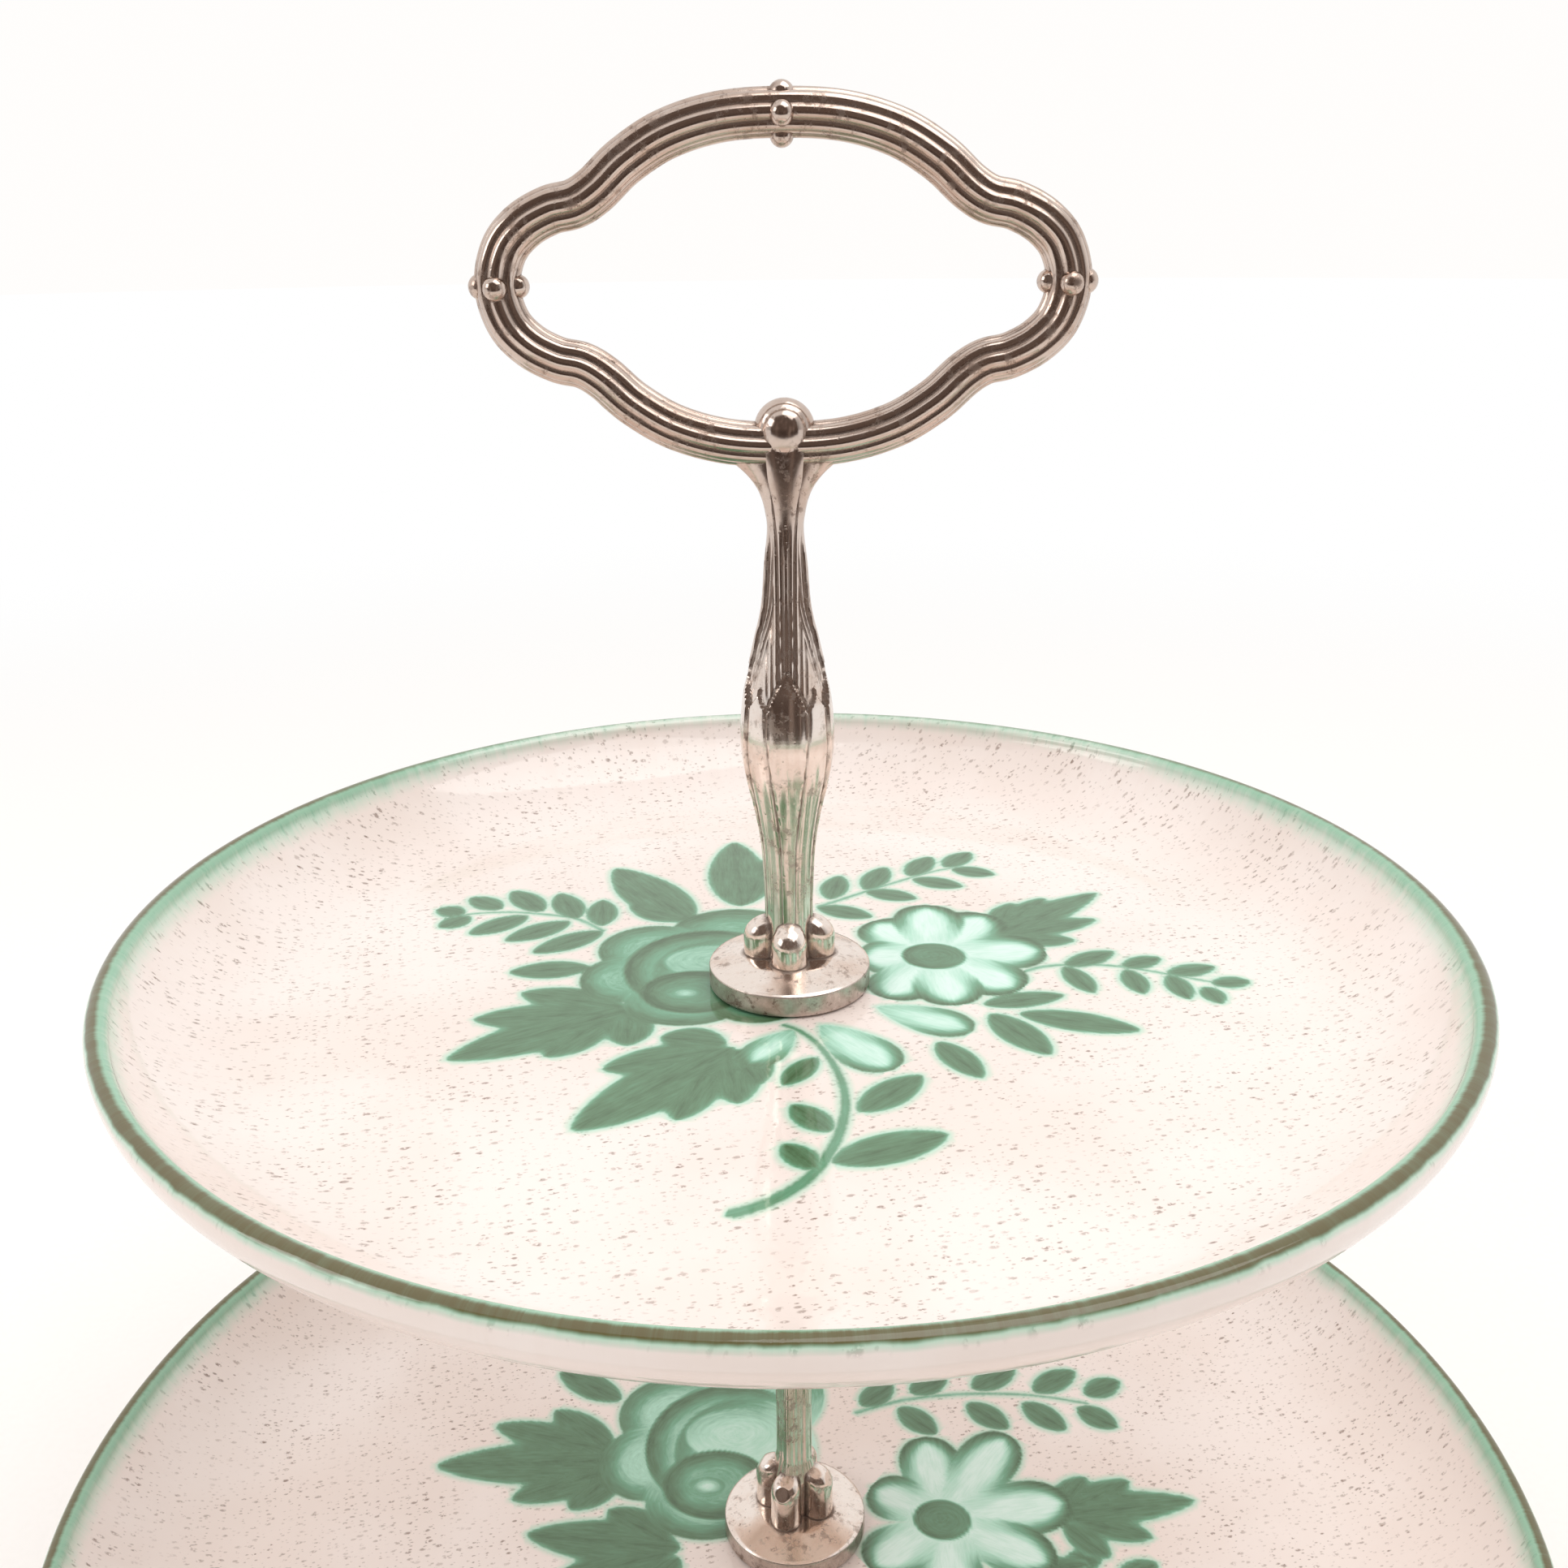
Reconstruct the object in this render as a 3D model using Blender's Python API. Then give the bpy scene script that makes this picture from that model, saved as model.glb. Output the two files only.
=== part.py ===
"""Two-tier cake stand: two glazed plates on a cast column, closed by a screw-on ring handle.

Metres, +Z up. The origin is on the ground, at the centre of the bottom plate's foot ring.
The handle's ring stands in the XZ plane. Every piece sits on the Z axis, so each joint
turns about it or slides along it. The stack, from the ground up:

    base_screw, base_washer, base_pad    clamp the column to the bottom plate from below
    bottom_plate, column_pad, column     the column's lobed foot stands in the plate's well
    support_disc, support_pad            carry the top plate on the column's shoulder
    top_plate, handle_pad, handle        the handle's lobed foot clamps the top plate
    column_stud                          joins column and handle through the plate's hole
"""

import math
from collections import namedtuple

import bmesh
import bpy
from mathutils import Matrix, Vector

# Clearances
SEAT_GAP = 0.0003  # between two pieces that rest on each other
THREAD_GAP = 0.0003  # round the plain shank that stands for a thread
BORE_WALL = 0.0004  # least metal round a threaded bore
SHANK_GAP = 0.0004  # round a shank where it passes through a washer

# Plates
Plate = namedtuple(
    "Plate", "rim_radius height depth well_radius floor foot_radius foot_width"
)
BOTTOM = Plate(0.125, 0.025, 0.0149, 0.094, 0.0045, 0.078, 0.0046)
TOP = Plate(0.100, 0.022, 0.0131, 0.075, 0.0042, 0.062, 0.0042)
TIER_SPACING = 0.1065  # from lip to lip
LIP_RADIUS = 0.0016
FOOT_CHAMFER = 0.0008
PLATE_HOLE_RADIUS = 0.004
PLATE_SEGMENTS = 60

# Foot flange, which the column and the handle share
FLANGE_RADIUS = 0.0124
FLANGE_EDGE = 0.0034
FLANGE_RISE = 0.0015
FLANGE_RIM = 0.0012  # width of the rim round the recess that hides the pad
HUB_RADIUS = 0.007  # over the lobes
LOBE_RADIUS = 0.0027
HANDLE_LOBE_HEIGHT = 0.0062
COLUMN_LOBE_HEIGHT = 0.0075
COLUMN_LOBE_TURN = math.radians(-20)

# Column
COLUMN_RADIUS = 0.00315
COLUMN_CORE = 0.0041
COLLAR_RADIUS = 0.0056
COLLAR_HEIGHT = 0.011
COLLAR_TAPER = 0.008
COLUMN_FLUTE = 0.10

# Handle
STEM_HEIGHT = 0.0822  # from the flange's rim to the ring's lowest spine point
STEM_FLUTE = 0.07
RING_HALF_HEIGHT = 0.0211
RING_HALF_WIDTH = 0.0381
RING_HALF_THICKNESS = 0.0026
RING_HALF_DEPTH = 0.0024
BEAD_RADIUS = 0.00135
BALL_RADIUS = 0.0035

# Fasteners
SHANK_RADIUS = 0.0024  # mean radius of the M5 thread
STUD_IN_COLUMN = 0.0095
STUD_IN_HANDLE = 0.0090
SCREW_IN_COLUMN = 0.0080
PAD_THICKNESS = 0.0008
DISC_RADIUS = 0.0115
DISC_THICKNESS = 0.0012
SUPPORT_PAD_RADIUS = 0.0105
BASE_PAD_RADIUS = 0.0100
BASE_WASHER_RADIUS = 0.0095
BASE_WASHER_THICKNESS = 0.0009
SCREW_HEAD_RADIUS = 0.0048
SCREW_HEAD_HEIGHT = 0.0021
SCREW_SLOT_WIDTH = 0.0012
SCREW_SLOT_DEPTH = 0.0009

# Heights of the stack, each from the piece below it
BOTTOM_WELL = BOTTOM.height - BOTTOM.depth
BOTTOM_UNDERSIDE = BOTTOM_WELL - BOTTOM.floor
TOP_LIP = BOTTOM.height + TIER_SPACING
TOP_FOOT = TOP_LIP - TOP.height
TOP_WELL = TOP_LIP - TOP.depth
TOP_UNDERSIDE = TOP_WELL - TOP.floor
COLUMN_SEAT = BOTTOM_WELL + SEAT_GAP
HANDLE_SEAT = TOP_WELL + SEAT_GAP
PAD_RECESS = PAD_THICKNESS + SEAT_GAP
RECESS_RADIUS = FLANGE_RADIUS - FLANGE_RIM
SUPPORT_PAD_SEAT = TOP_UNDERSIDE - SEAT_GAP - PAD_THICKNESS
SUPPORT_DISC_SEAT = SUPPORT_PAD_SEAT - SEAT_GAP - DISC_THICKNESS
COLUMN_TOP = SUPPORT_DISC_SEAT - SEAT_GAP
BASE_PAD_SEAT = BOTTOM_UNDERSIDE - SEAT_GAP - PAD_THICKNESS
BASE_WASHER_SEAT = BASE_PAD_SEAT - SEAT_GAP - BASE_WASHER_THICKNESS
SCREW_HEAD_TOP = BASE_WASHER_SEAT - SEAT_GAP
STUD_FOOT = COLUMN_TOP - STUD_IN_COLUMN
STUD_TIP = HANDLE_SEAT + PAD_RECESS + STUD_IN_HANDLE
SCREW_TIP = COLUMN_SEAT + PAD_RECESS + SCREW_IN_COLUMN
RING_CENTRE = STEM_HEIGHT + RING_HALF_HEIGHT

# Half breadths of the stem: share of its height, across the ring's plane, through it
STEM_STATIONS = (
    (0.055, 0.00400, 0.00400),
    (0.130, 0.00360, 0.00360),
    (0.262, 0.00410, 0.00410),
    (0.340, 0.00497, 0.00497),
    (0.420, 0.00631, 0.00631),
    (0.480, 0.00680, 0.00680),
    (0.541, 0.00652, 0.00652),
    (0.600, 0.00570, 0.00570),
    (0.660, 0.00461, 0.00461),
    (0.732, 0.00324, 0.00324),
    (0.845, 0.00268, 0.00268),
    (0.886, 0.00300, 0.00275),
    (0.928, 0.00395, 0.00285),
    (0.959, 0.00540, 0.00285),
    (0.995, 0.00700, 0.00220),
)

# A quarter of the ring's spine, as shares of its half width and half height
RING_QUARTER = (
    (0.00, 1.00),
    (0.21, 0.976),
    (0.394, 0.882),
    (0.538, 0.730),
    (0.640, 0.569),
    (0.714, 0.488),
    (0.803, 0.450),
    (0.898, 0.360),
    (0.969, 0.218),
    (1.00, 0.00),
)


def material(name, colour, metallic, roughness):
    """A plain material: its colour, metallic value and roughness."""
    made = bpy.data.materials.new(name)
    made.use_nodes = True
    shader = made.node_tree.nodes["Principled BSDF"]
    shader.inputs["Base Color"].default_value = (*colour, 1.0)
    shader.inputs["Metallic"].default_value = metallic
    shader.inputs["Roughness"].default_value = roughness
    return made


def piece(name, bm, finish, height=0.0, parent=None):
    """An object on the Z axis, from a bmesh in the piece's own coordinates."""
    bmesh.ops.recalc_face_normals(bm, faces=bm.faces)
    mesh = bpy.data.meshes.new(name)
    bm.to_mesh(mesh)
    bm.free()
    mesh.shade_smooth()
    mesh.set_sharp_from_angle(angle=math.radians(35))
    if finish is not None:
        mesh.materials.append(finish)
    made = bpy.data.objects.new(name, mesh)
    bpy.context.scene.collection.objects.link(made)
    made.parent = parent
    made.location.z = height - (parent.matrix_world.translation.z if parent else 0.0)
    return made


def pivot(name, height, parent=None):
    """An empty on the Z axis that a moving body turns about or slides along."""
    made = bpy.data.objects.new(name, None)
    made.empty_display_size = 0.01
    bpy.context.scene.collection.objects.link(made)
    made.parent = parent
    made.location.z = height - (parent.matrix_world.translation.z if parent else 0.0)
    bpy.context.view_layer.update()
    return made


def shape(obj, tool, operation):
    """Joins a helper to an object, or cuts it away, and keeps the helper out of the render."""
    tool.hide_render = True
    tool.display_type = "WIRE"
    change = obj.modifiers.new(tool.name, "BOOLEAN")
    change.operation = operation
    change.solver = "EXACT"
    change.object = tool


def spun(profile, segments):
    """A bmesh turned about Z from a closed outline of (radius, height) points."""
    bm = bmesh.new()
    verts = [bm.verts.new((radius, 0.0, height)) for radius, height in profile]
    edges = [bm.edges.new((a, b)) for a, b in zip(verts, verts[1:] + verts[:1])]
    bmesh.ops.spin(
        bm,
        geom=verts + edges,
        cent=(0, 0, 0),
        axis=(0, 0, 1),
        dvec=(0, 0, 0),
        angle=math.tau,
        steps=segments,
        use_merge=True,
    )
    bmesh.ops.remove_doubles(bm, verts=bm.verts, dist=1e-6)
    bmesh.ops.dissolve_degenerate(bm, edges=bm.edges, dist=1e-7)
    return bm


def lofted(rings, closed=False):
    """A bmesh skinned over rings of points: capped at both ends, or joined into a loop."""
    bm = bmesh.new()
    loops = [[bm.verts.new(point) for point in ring] for ring in rings]
    pairs = list(zip(loops, loops[1:]))
    if closed:
        pairs.append((loops[-1], loops[0]))
    for lower, upper in pairs:
        count = len(lower)
        for i in range(count):
            j = (i + 1) % count
            bm.faces.new((lower[i], lower[j], upper[j], upper[i]))
    if not closed:
        bm.faces.new(loops[0][::-1])
        bm.faces.new(loops[-1])
    return bm


def bezier(start, start_handle, end_handle, end, count):
    """Points along a cubic curve, without its first point and with its last."""
    points = []
    for i in range(1, count + 1):
        t = i / count
        u = 1 - t
        weights = (u**3, 3 * u * u * t, 3 * u * t * t, t**3)
        corners = (start, start_handle, end_handle, end)
        points.append(
            tuple(sum(w * corner[k] for w, corner in zip(weights, corners)) for k in (0, 1))
        )
    return points


def plate_outline(plate):
    """The plate's section, from the hole's top edge out over the lip and back underneath."""
    well = plate.height - plate.depth
    underside = well - plate.floor
    lip = Vector((plate.rim_radius - LIP_RADIUS, plate.height - LIP_RADIUS))
    slope = lip.x - LIP_RADIUS - plate.well_radius
    drop = lip.y - underside
    outline = [(PLATE_HOLE_RADIUS, well), (plate.well_radius, well)]
    outline += bezier(
        outline[-1],
        (plate.well_radius + 0.45 * slope, well),
        (lip.x - LIP_RADIUS - 0.16 * slope, well + 0.42 * (lip.y - well)),
        (lip.x - LIP_RADIUS, lip.y),
        5,
    )
    for degrees in (135, 90, 45, 0):
        angle = math.radians(degrees)
        outline.append(
            (lip.x + LIP_RADIUS * math.cos(angle), lip.y + LIP_RADIUS * math.sin(angle))
        )
    outline += bezier(
        outline[-1],
        (plate.rim_radius, lip.y - 0.53 * drop),
        (plate.rim_radius - 0.21 * (plate.rim_radius - plate.foot_radius), underside),
        (plate.foot_radius, underside),
        6,
    )
    inner = plate.foot_radius - plate.foot_width
    outline += [
        (plate.foot_radius, FOOT_CHAMFER),
        (plate.foot_radius - FOOT_CHAMFER, 0.0),
        (inner + FOOT_CHAMFER, 0.0),
        (inner, FOOT_CHAMFER),
        (inner, underside),
        (PLATE_HOLE_RADIUS, underside),
    ]
    return outline


def plate_piece(name, plate, foot, finish, parent):
    """A plate with its foot ring at the given height."""
    return piece(name, spun(plate_outline(plate), PLATE_SEGMENTS), finish, foot, parent)


def washer(name, inner, outer, thickness, seat, finish, parent):
    """A flat ring, from its inner to its outer radius, whose lower face lies at the seat."""
    outline = [(inner, 0), (outer, 0), (outer, thickness), (inner, thickness)]
    return piece(name, spun(outline, 28), finish, seat, parent)


def flange(name, seat, parent):
    """The disc foot: a straight edge, then a shallow cone up to the hub."""
    top = FLANGE_EDGE + FLANGE_RISE
    outline = [
        (0, 0),
        (FLANGE_RADIUS, 0),
        (FLANGE_RADIUS, FLANGE_EDGE),
        (HUB_RADIUS, top),
        (0, top),
    ]
    return piece(name, spun(outline, 40), None, seat, parent)


def lobe(name, turn, height, domed, seat, parent):
    """One upright knob of the hub, round-topped or with a bevelled top."""
    base = FLANGE_EDGE
    top = FLANGE_EDGE + FLANGE_RISE + height
    if domed:
        cap = [
            (LOBE_RADIUS * math.cos(angle), top - LOBE_RADIUS * (1 - math.sin(angle)))
            for angle in (0, math.radians(35), math.radians(65))
        ]
    else:
        cap = [(LOBE_RADIUS, top - 0.0022), (0.0013, top)]
    bm = spun([(0, base), (LOBE_RADIUS, base), *cap, (0, top)], 10)
    bmesh.ops.rotate(bm, verts=bm.verts, matrix=Matrix.Rotation(turn, 3, "Z"))
    reach = HUB_RADIUS - LOBE_RADIUS
    offset = (reach * math.cos(turn), reach * math.sin(turn), 0)
    bmesh.ops.translate(bm, verts=bm.verts, vec=offset)
    return piece(name, bm, None, seat, parent)


def fluted(stations, flute, count=20):
    """Rings of a four-ridged shaft: its stations hold height, X half breadth, Y half breadth."""
    rings = []
    for height, across, through in stations:
        ring = []
        for i in range(count):
            angle = math.tau * i / count
            ridge = (1 + flute * math.cos(4 * angle)) / (1 + flute)
            ring.append(
                (across * ridge * math.cos(angle), through * ridge * math.sin(angle), height)
            )
        rings.append(ring)
    return rings


def foot_socket(name, depth, seat, parent):
    """The cut under a lobed foot: a recess for the pad, then the blind threaded bore."""
    bore = SHANK_RADIUS + THREAD_GAP
    ceiling = PAD_RECESS + depth + SEAT_GAP
    below = -0.002
    outline = [
        (0, below),
        (RECESS_RADIUS, below),
        (RECESS_RADIUS, PAD_RECESS),
        (bore, PAD_RECESS),
        (bore, ceiling),
        (0, ceiling),
    ]
    return piece(name, spun(outline, 24), None, seat, parent)


def socket_core(name, depth, seat, parent):
    """The metal round a foot's threaded bore, which keeps its wall where the shaft is slim."""
    radius = SHANK_RADIUS + THREAD_GAP + BORE_WALL
    top = PAD_RECESS + depth + SEAT_GAP + BORE_WALL
    base = 0.5 * (PAD_RECESS + FLANGE_EDGE)
    outline = [(0, base), (radius, base), (radius, top), (0, top)]
    return piece(name, spun(outline, 24), None, seat, parent)


def lobed_foot(obj, seat, lobe_height, domed, turn, parent):
    """Joins the flange and its four lobes to a shaft."""
    shape(obj, flange(f"{obj.name}_flange", seat, parent), "UNION")
    for i in range(4):
        angle = turn + i * math.tau / 4
        knob = lobe(f"{obj.name}_lobe_{i + 1}", angle, lobe_height, domed, seat, parent)
        shape(obj, knob, "UNION")


def column_piece(finish, parent):
    """The column: lobed foot, fluted shaft, and a collar that carries the support disc."""
    length = COLUMN_TOP - COLUMN_SEAT
    foot = FLANGE_EDGE + 0.5 * FLANGE_RISE
    neck = FLANGE_EDGE + FLANGE_RISE + COLUMN_LOBE_HEIGHT
    levels = (
        (foot, COLUMN_CORE),
        (neck, COLUMN_CORE),
        (neck + 0.004, COLUMN_RADIUS),
        (0.5 * length, COLUMN_RADIUS),
        (length - COLLAR_HEIGHT - COLLAR_TAPER, COLUMN_RADIUS),
        (
            length - COLLAR_HEIGHT - 0.4 * COLLAR_TAPER,
            0.6 * COLUMN_RADIUS + 0.4 * COLLAR_RADIUS,
        ),
        (length - COLLAR_HEIGHT, COLLAR_RADIUS),
        (length, COLLAR_RADIUS),
    )
    stations = [(height, radius, radius) for height, radius in levels]
    column = piece(
        "column", lofted(fluted(stations, COLUMN_FLUTE)), finish, COLUMN_SEAT, parent
    )
    lobed_foot(column, COLUMN_SEAT, COLUMN_LOBE_HEIGHT, False, COLUMN_LOBE_TURN, parent)
    core = socket_core("column_core", SCREW_IN_COLUMN, COLUMN_SEAT, parent)
    shape(column, core, "UNION")
    socket = foot_socket("column_socket", SCREW_IN_COLUMN, COLUMN_SEAT, parent)
    shape(column, socket, "DIFFERENCE")
    bore = SHANK_RADIUS + THREAD_GAP
    depth = STUD_IN_COLUMN + SEAT_GAP
    above = 0.002
    outline = [(0, -depth), (bore, -depth), (bore, above), (0, above)]
    top_bore = piece("column_top_bore", spun(outline, 24), None, COLUMN_TOP, parent)
    shape(column, top_bore, "DIFFERENCE")
    return column


def ring_spine(per_span=2):
    """Points once round the ring's spine, clockwise from its top, in the XZ plane."""
    quarter = [
        Vector((x * RING_HALF_WIDTH, 0, z * RING_HALF_HEIGHT)) for x, z in RING_QUARTER
    ]
    right = quarter + [Vector((p.x, 0, -p.z)) for p in quarter[-2::-1]]
    corners = right + [Vector((-p.x, 0, p.z)) for p in right[-2:0:-1]]
    count = len(corners)
    spine = []
    for i in range(count):
        a, b, c, d = (corners[(i + k) % count] for k in (-1, 0, 1, 2))
        for step in range(per_span):
            t = step / per_span
            spine.append(
                0.5
                * (
                    2 * b
                    + (c - a) * t
                    + (2 * a - 5 * b + 4 * c - d) * t * t
                    + (3 * b - a - 3 * c + d) * t**3
                )
            )
    return spine


def ring_loop(sides=10):
    """The ring as one closed tube of oval section."""
    spine = ring_spine()
    count = len(spine)
    rings = []
    for i, point in enumerate(spine):
        along = (spine[(i + 1) % count] - spine[i - 1]).normalized()
        outward = along.cross(Vector((0, 1, 0)))
        ring = []
        for k in range(sides):
            angle = math.tau * k / sides
            ring.append(
                point
                + outward * RING_HALF_THICKNESS * math.cos(angle)
                + Vector((0, RING_HALF_DEPTH * math.sin(angle), 0))
            )
        rings.append(ring)
    return lofted(rings, closed=True)


def ball(name, centre, radius, finish, parent):
    """A small cast ball, centred in the handle's own coordinates."""
    bm = bmesh.new()
    bmesh.ops.create_icosphere(
        bm, subdivisions=2, radius=radius, matrix=Matrix.Translation(centre)
    )
    return piece(name, bm, finish, HANDLE_SEAT, parent)


def bead_centres():
    """Four beads round the ring's section at its top and at both ends."""
    centres = []
    for out_x, out_z in ((0, 1), (1, 0), (-1, 0)):
        x = out_x * RING_HALF_WIDTH
        z = out_z * RING_HALF_HEIGHT
        for reach in (-RING_HALF_THICKNESS, RING_HALF_THICKNESS):
            centres.append((x + reach * out_x, 0, RING_CENTRE + z + reach * out_z))
        for depth in (-RING_HALF_DEPTH, RING_HALF_DEPTH):
            centres.append((x, depth, RING_CENTRE + z))
    return centres


def handle_piece(finish, parent):
    """The handle: ring with its beads, stem with its bulb, and a lobed foot."""
    stations = [(share * STEM_HEIGHT, x, y) for share, x, y in STEM_STATIONS]
    handle = piece(
        "handle", lofted(fluted(stations, STEM_FLUTE)), finish, HANDLE_SEAT, parent
    )
    loop = piece("handle_ring", ring_loop(), None, HANDLE_SEAT + RING_CENTRE, parent)
    shape(handle, loop, "UNION")
    junction = (0, 0, STEM_HEIGHT + 0.5 * RING_HALF_THICKNESS)
    shape(handle, ball("handle_ball", junction, BALL_RADIUS, None, parent), "UNION")
    for i, centre in enumerate(bead_centres()):
        bead = ball(f"handle_bead_{i + 1}", centre, BEAD_RADIUS, None, parent)
        shape(handle, bead, "UNION")
    lobed_foot(handle, HANDLE_SEAT, HANDLE_LOBE_HEIGHT, True, 0.0, parent)
    core = socket_core("handle_core", STUD_IN_HANDLE, HANDLE_SEAT, parent)
    shape(handle, core, "UNION")
    socket = foot_socket("handle_socket", STUD_IN_HANDLE, HANDLE_SEAT, parent)
    shape(handle, socket, "DIFFERENCE")
    return handle


def stud_piece(finish, parent):
    """The threaded stud, as a plain shank with chamfered ends."""
    length = STUD_TIP - STUD_FOOT
    end = 0.0005
    small = SHANK_RADIUS - end
    outline = [
        (0, 0), (small, 0), (SHANK_RADIUS, end),
        (SHANK_RADIUS, length - end), (small, length), (0, length),
    ]
    return piece("column_stud", spun(outline, 20), finish, STUD_FOOT, parent)


def screw_piece(finish, parent):
    """The slotted pan-head screw that holds the column to the bottom plate."""
    head = -SCREW_HEAD_HEIGHT
    tip = SCREW_TIP - SCREW_HEAD_TOP
    end = 0.0005
    outline = [
        (0, head),
        (0.75 * SCREW_HEAD_RADIUS, head),
        (SCREW_HEAD_RADIUS, 0.6 * head),
        (SCREW_HEAD_RADIUS, 0),
        (SHANK_RADIUS, 0),
        (SHANK_RADIUS, tip - end),
        (SHANK_RADIUS - end, tip),
        (0, tip),
    ]
    screw = piece("base_screw", spun(outline, 24), finish, SCREW_HEAD_TOP, parent)
    bm = bmesh.new()
    size = (4 * SCREW_HEAD_RADIUS, SCREW_SLOT_WIDTH, 2 * SCREW_SLOT_DEPTH)
    bmesh.ops.create_cube(
        bm, size=1, matrix=Matrix.Translation((0, 0, head)) @ Matrix.Diagonal((*size, 1))
    )
    shape(screw, piece("screw_slot", bm, None, SCREW_HEAD_TOP, parent), "DIFFERENCE")
    return screw


def build():
    """Clears the scene and makes every piece."""
    for old in list(bpy.data.objects):
        bpy.data.objects.remove(old, do_unlink=True)
    glaze = material("cream_glaze", (0.88, 0.83, 0.76), 0.0, 0.12)
    silver = material("aged_silver_plate", (0.55, 0.47, 0.42), 0.95, 0.24)
    steel = material("zinc_plated_steel", (0.62, 0.62, 0.60), 0.9, 0.35)
    rubber = material("clear_grey_rubber", (0.55, 0.54, 0.50), 0.0, 0.8)

    plate_piece("bottom_plate", BOTTOM, 0.0, glaze, None)

    column_axis = pivot("column_axis", COLUMN_SEAT)
    column_piece(silver, column_axis)
    stud_piece(steel, column_axis)
    pad_hole = SHANK_RADIUS + SHANK_GAP
    pad_radius = RECESS_RADIUS - SEAT_GAP
    for name, radius, thickness, seat, finish in (
        ("column_pad", pad_radius, PAD_THICKNESS, COLUMN_SEAT, rubber),
        ("support_disc", DISC_RADIUS, DISC_THICKNESS, SUPPORT_DISC_SEAT, silver),
        ("support_pad", SUPPORT_PAD_RADIUS, PAD_THICKNESS, SUPPORT_PAD_SEAT, rubber),
        ("base_pad", BASE_PAD_RADIUS, PAD_THICKNESS, BASE_PAD_SEAT, rubber),
    ):
        washer(name, pad_hole, radius, thickness, seat, finish, column_axis)

    screw_axis = pivot("screw_axis", SCREW_HEAD_TOP, column_axis)
    washer(
        "base_washer", pad_hole, BASE_WASHER_RADIUS, BASE_WASHER_THICKNESS,
        BASE_WASHER_SEAT, steel, screw_axis,
    )
    screw_piece(steel, screw_axis)

    plate_axis = pivot("top_plate_axis", TOP_FOOT, column_axis)
    plate_piece("top_plate", TOP, TOP_FOOT, glaze, plate_axis)

    handle_axis = pivot("handle_axis", HANDLE_SEAT, column_axis)
    washer("handle_pad", pad_hole, pad_radius, PAD_THICKNESS, HANDLE_SEAT, rubber, handle_axis)
    handle_piece(silver, handle_axis)


build()
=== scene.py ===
"""Looks of the two-tier cake stand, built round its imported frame.

The plates, the column, the ring handle and their fasteners are modelled at their real size
in the frame's own axes: metres, +Z up, the stand's axis on Z and the handle's ring in XZ.
"""

import logging
import math
from collections.abc import Iterator, Sequence
from contextlib import contextmanager
from dataclasses import dataclass
from enum import Enum
from typing import Any

import bpy
import numpy as np
from mathutils import Matrix, Vector


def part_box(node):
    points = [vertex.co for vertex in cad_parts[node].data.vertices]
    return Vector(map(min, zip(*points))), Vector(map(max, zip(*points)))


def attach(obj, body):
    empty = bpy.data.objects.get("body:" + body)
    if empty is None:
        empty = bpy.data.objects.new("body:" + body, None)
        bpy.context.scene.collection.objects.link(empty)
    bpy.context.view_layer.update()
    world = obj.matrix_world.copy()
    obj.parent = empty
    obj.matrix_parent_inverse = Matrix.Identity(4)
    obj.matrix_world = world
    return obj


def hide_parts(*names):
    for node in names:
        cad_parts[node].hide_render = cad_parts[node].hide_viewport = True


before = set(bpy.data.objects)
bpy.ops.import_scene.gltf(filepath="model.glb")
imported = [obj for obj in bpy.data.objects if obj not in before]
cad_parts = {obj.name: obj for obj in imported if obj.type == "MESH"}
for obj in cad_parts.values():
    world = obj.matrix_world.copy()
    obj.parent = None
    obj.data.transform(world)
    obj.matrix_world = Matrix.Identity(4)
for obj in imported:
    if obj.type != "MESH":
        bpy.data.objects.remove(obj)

Point = tuple[float, float]
Place = tuple[float, float, float]
Colour = tuple[float, float, float]
Stops = tuple[tuple[float, Colour], ...]
Array = np.ndarray
Rings = list[tuple[Array, Array]]

MM = 0.001
MERGE = 1e-6

log = logging.getLogger("cake_stand")


# Shaping


def smooth(value: Array, low: float, high: float) -> Array:
    """A soft step.

    Args:
        value: The numbers to grade.
        low: Where the step starts.
        high: Where the step ends.

    Returns:
        0 below low, 1 above high, and a smooth climb between.
    """
    share = np.clip((value - low) / (high - low), 0.0, 1.0)
    return share * share * (3.0 - 2.0 * share)


def round_angles(count: int) -> Array:
    """Even angles once round a circle, from zero."""
    return np.arange(count) * math.tau / count


def run_along(line: Array) -> Array:
    """The length of a line from its start to each of its points."""
    return np.concatenate([[0], np.cumsum(np.hypot(*np.diff(line, axis=0).T))])


def smooth_line(points: Sequence[Point], per_span: int, closed: bool = False) -> Array:
    """Points along a smooth line through the given ones.

    Args:
        points: The corners that the line passes through.
        per_span: How many points each span gets.
        closed: Whether the line returns to its start.

    Returns:
        An array of points, one row each.
    """
    if closed:
        corners = np.array([points[-1], *points, points[0], points[1]], float)
    else:
        corners = np.array([points[0], *points, points[-1]], float)
    line = []
    for a, b, c, d in zip(corners, corners[1:], corners[2:], corners[3:]):
        for step in range(per_span):
            t = step / per_span
            line.append(
                0.5
                * (
                    2 * b
                    + (c - a) * t
                    + (2 * a - 5 * b + 4 * c - d) * t**2
                    + (3 * b - a - 3 * c + d) * t**3
                )
            )
    if not closed:
        line.append(corners[-1])
    return np.array(line)


def graded(stations: Sequence[Point], at: Array) -> Array:
    """A smooth curve of a value along a length.

    Args:
        stations: Pairs of length and value.
        at: The lengths to read it at.

    Returns:
        The value at each length.
    """
    line = smooth_line(stations, 8)
    return np.interp(at, line[:, 0], line[:, 1])


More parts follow.
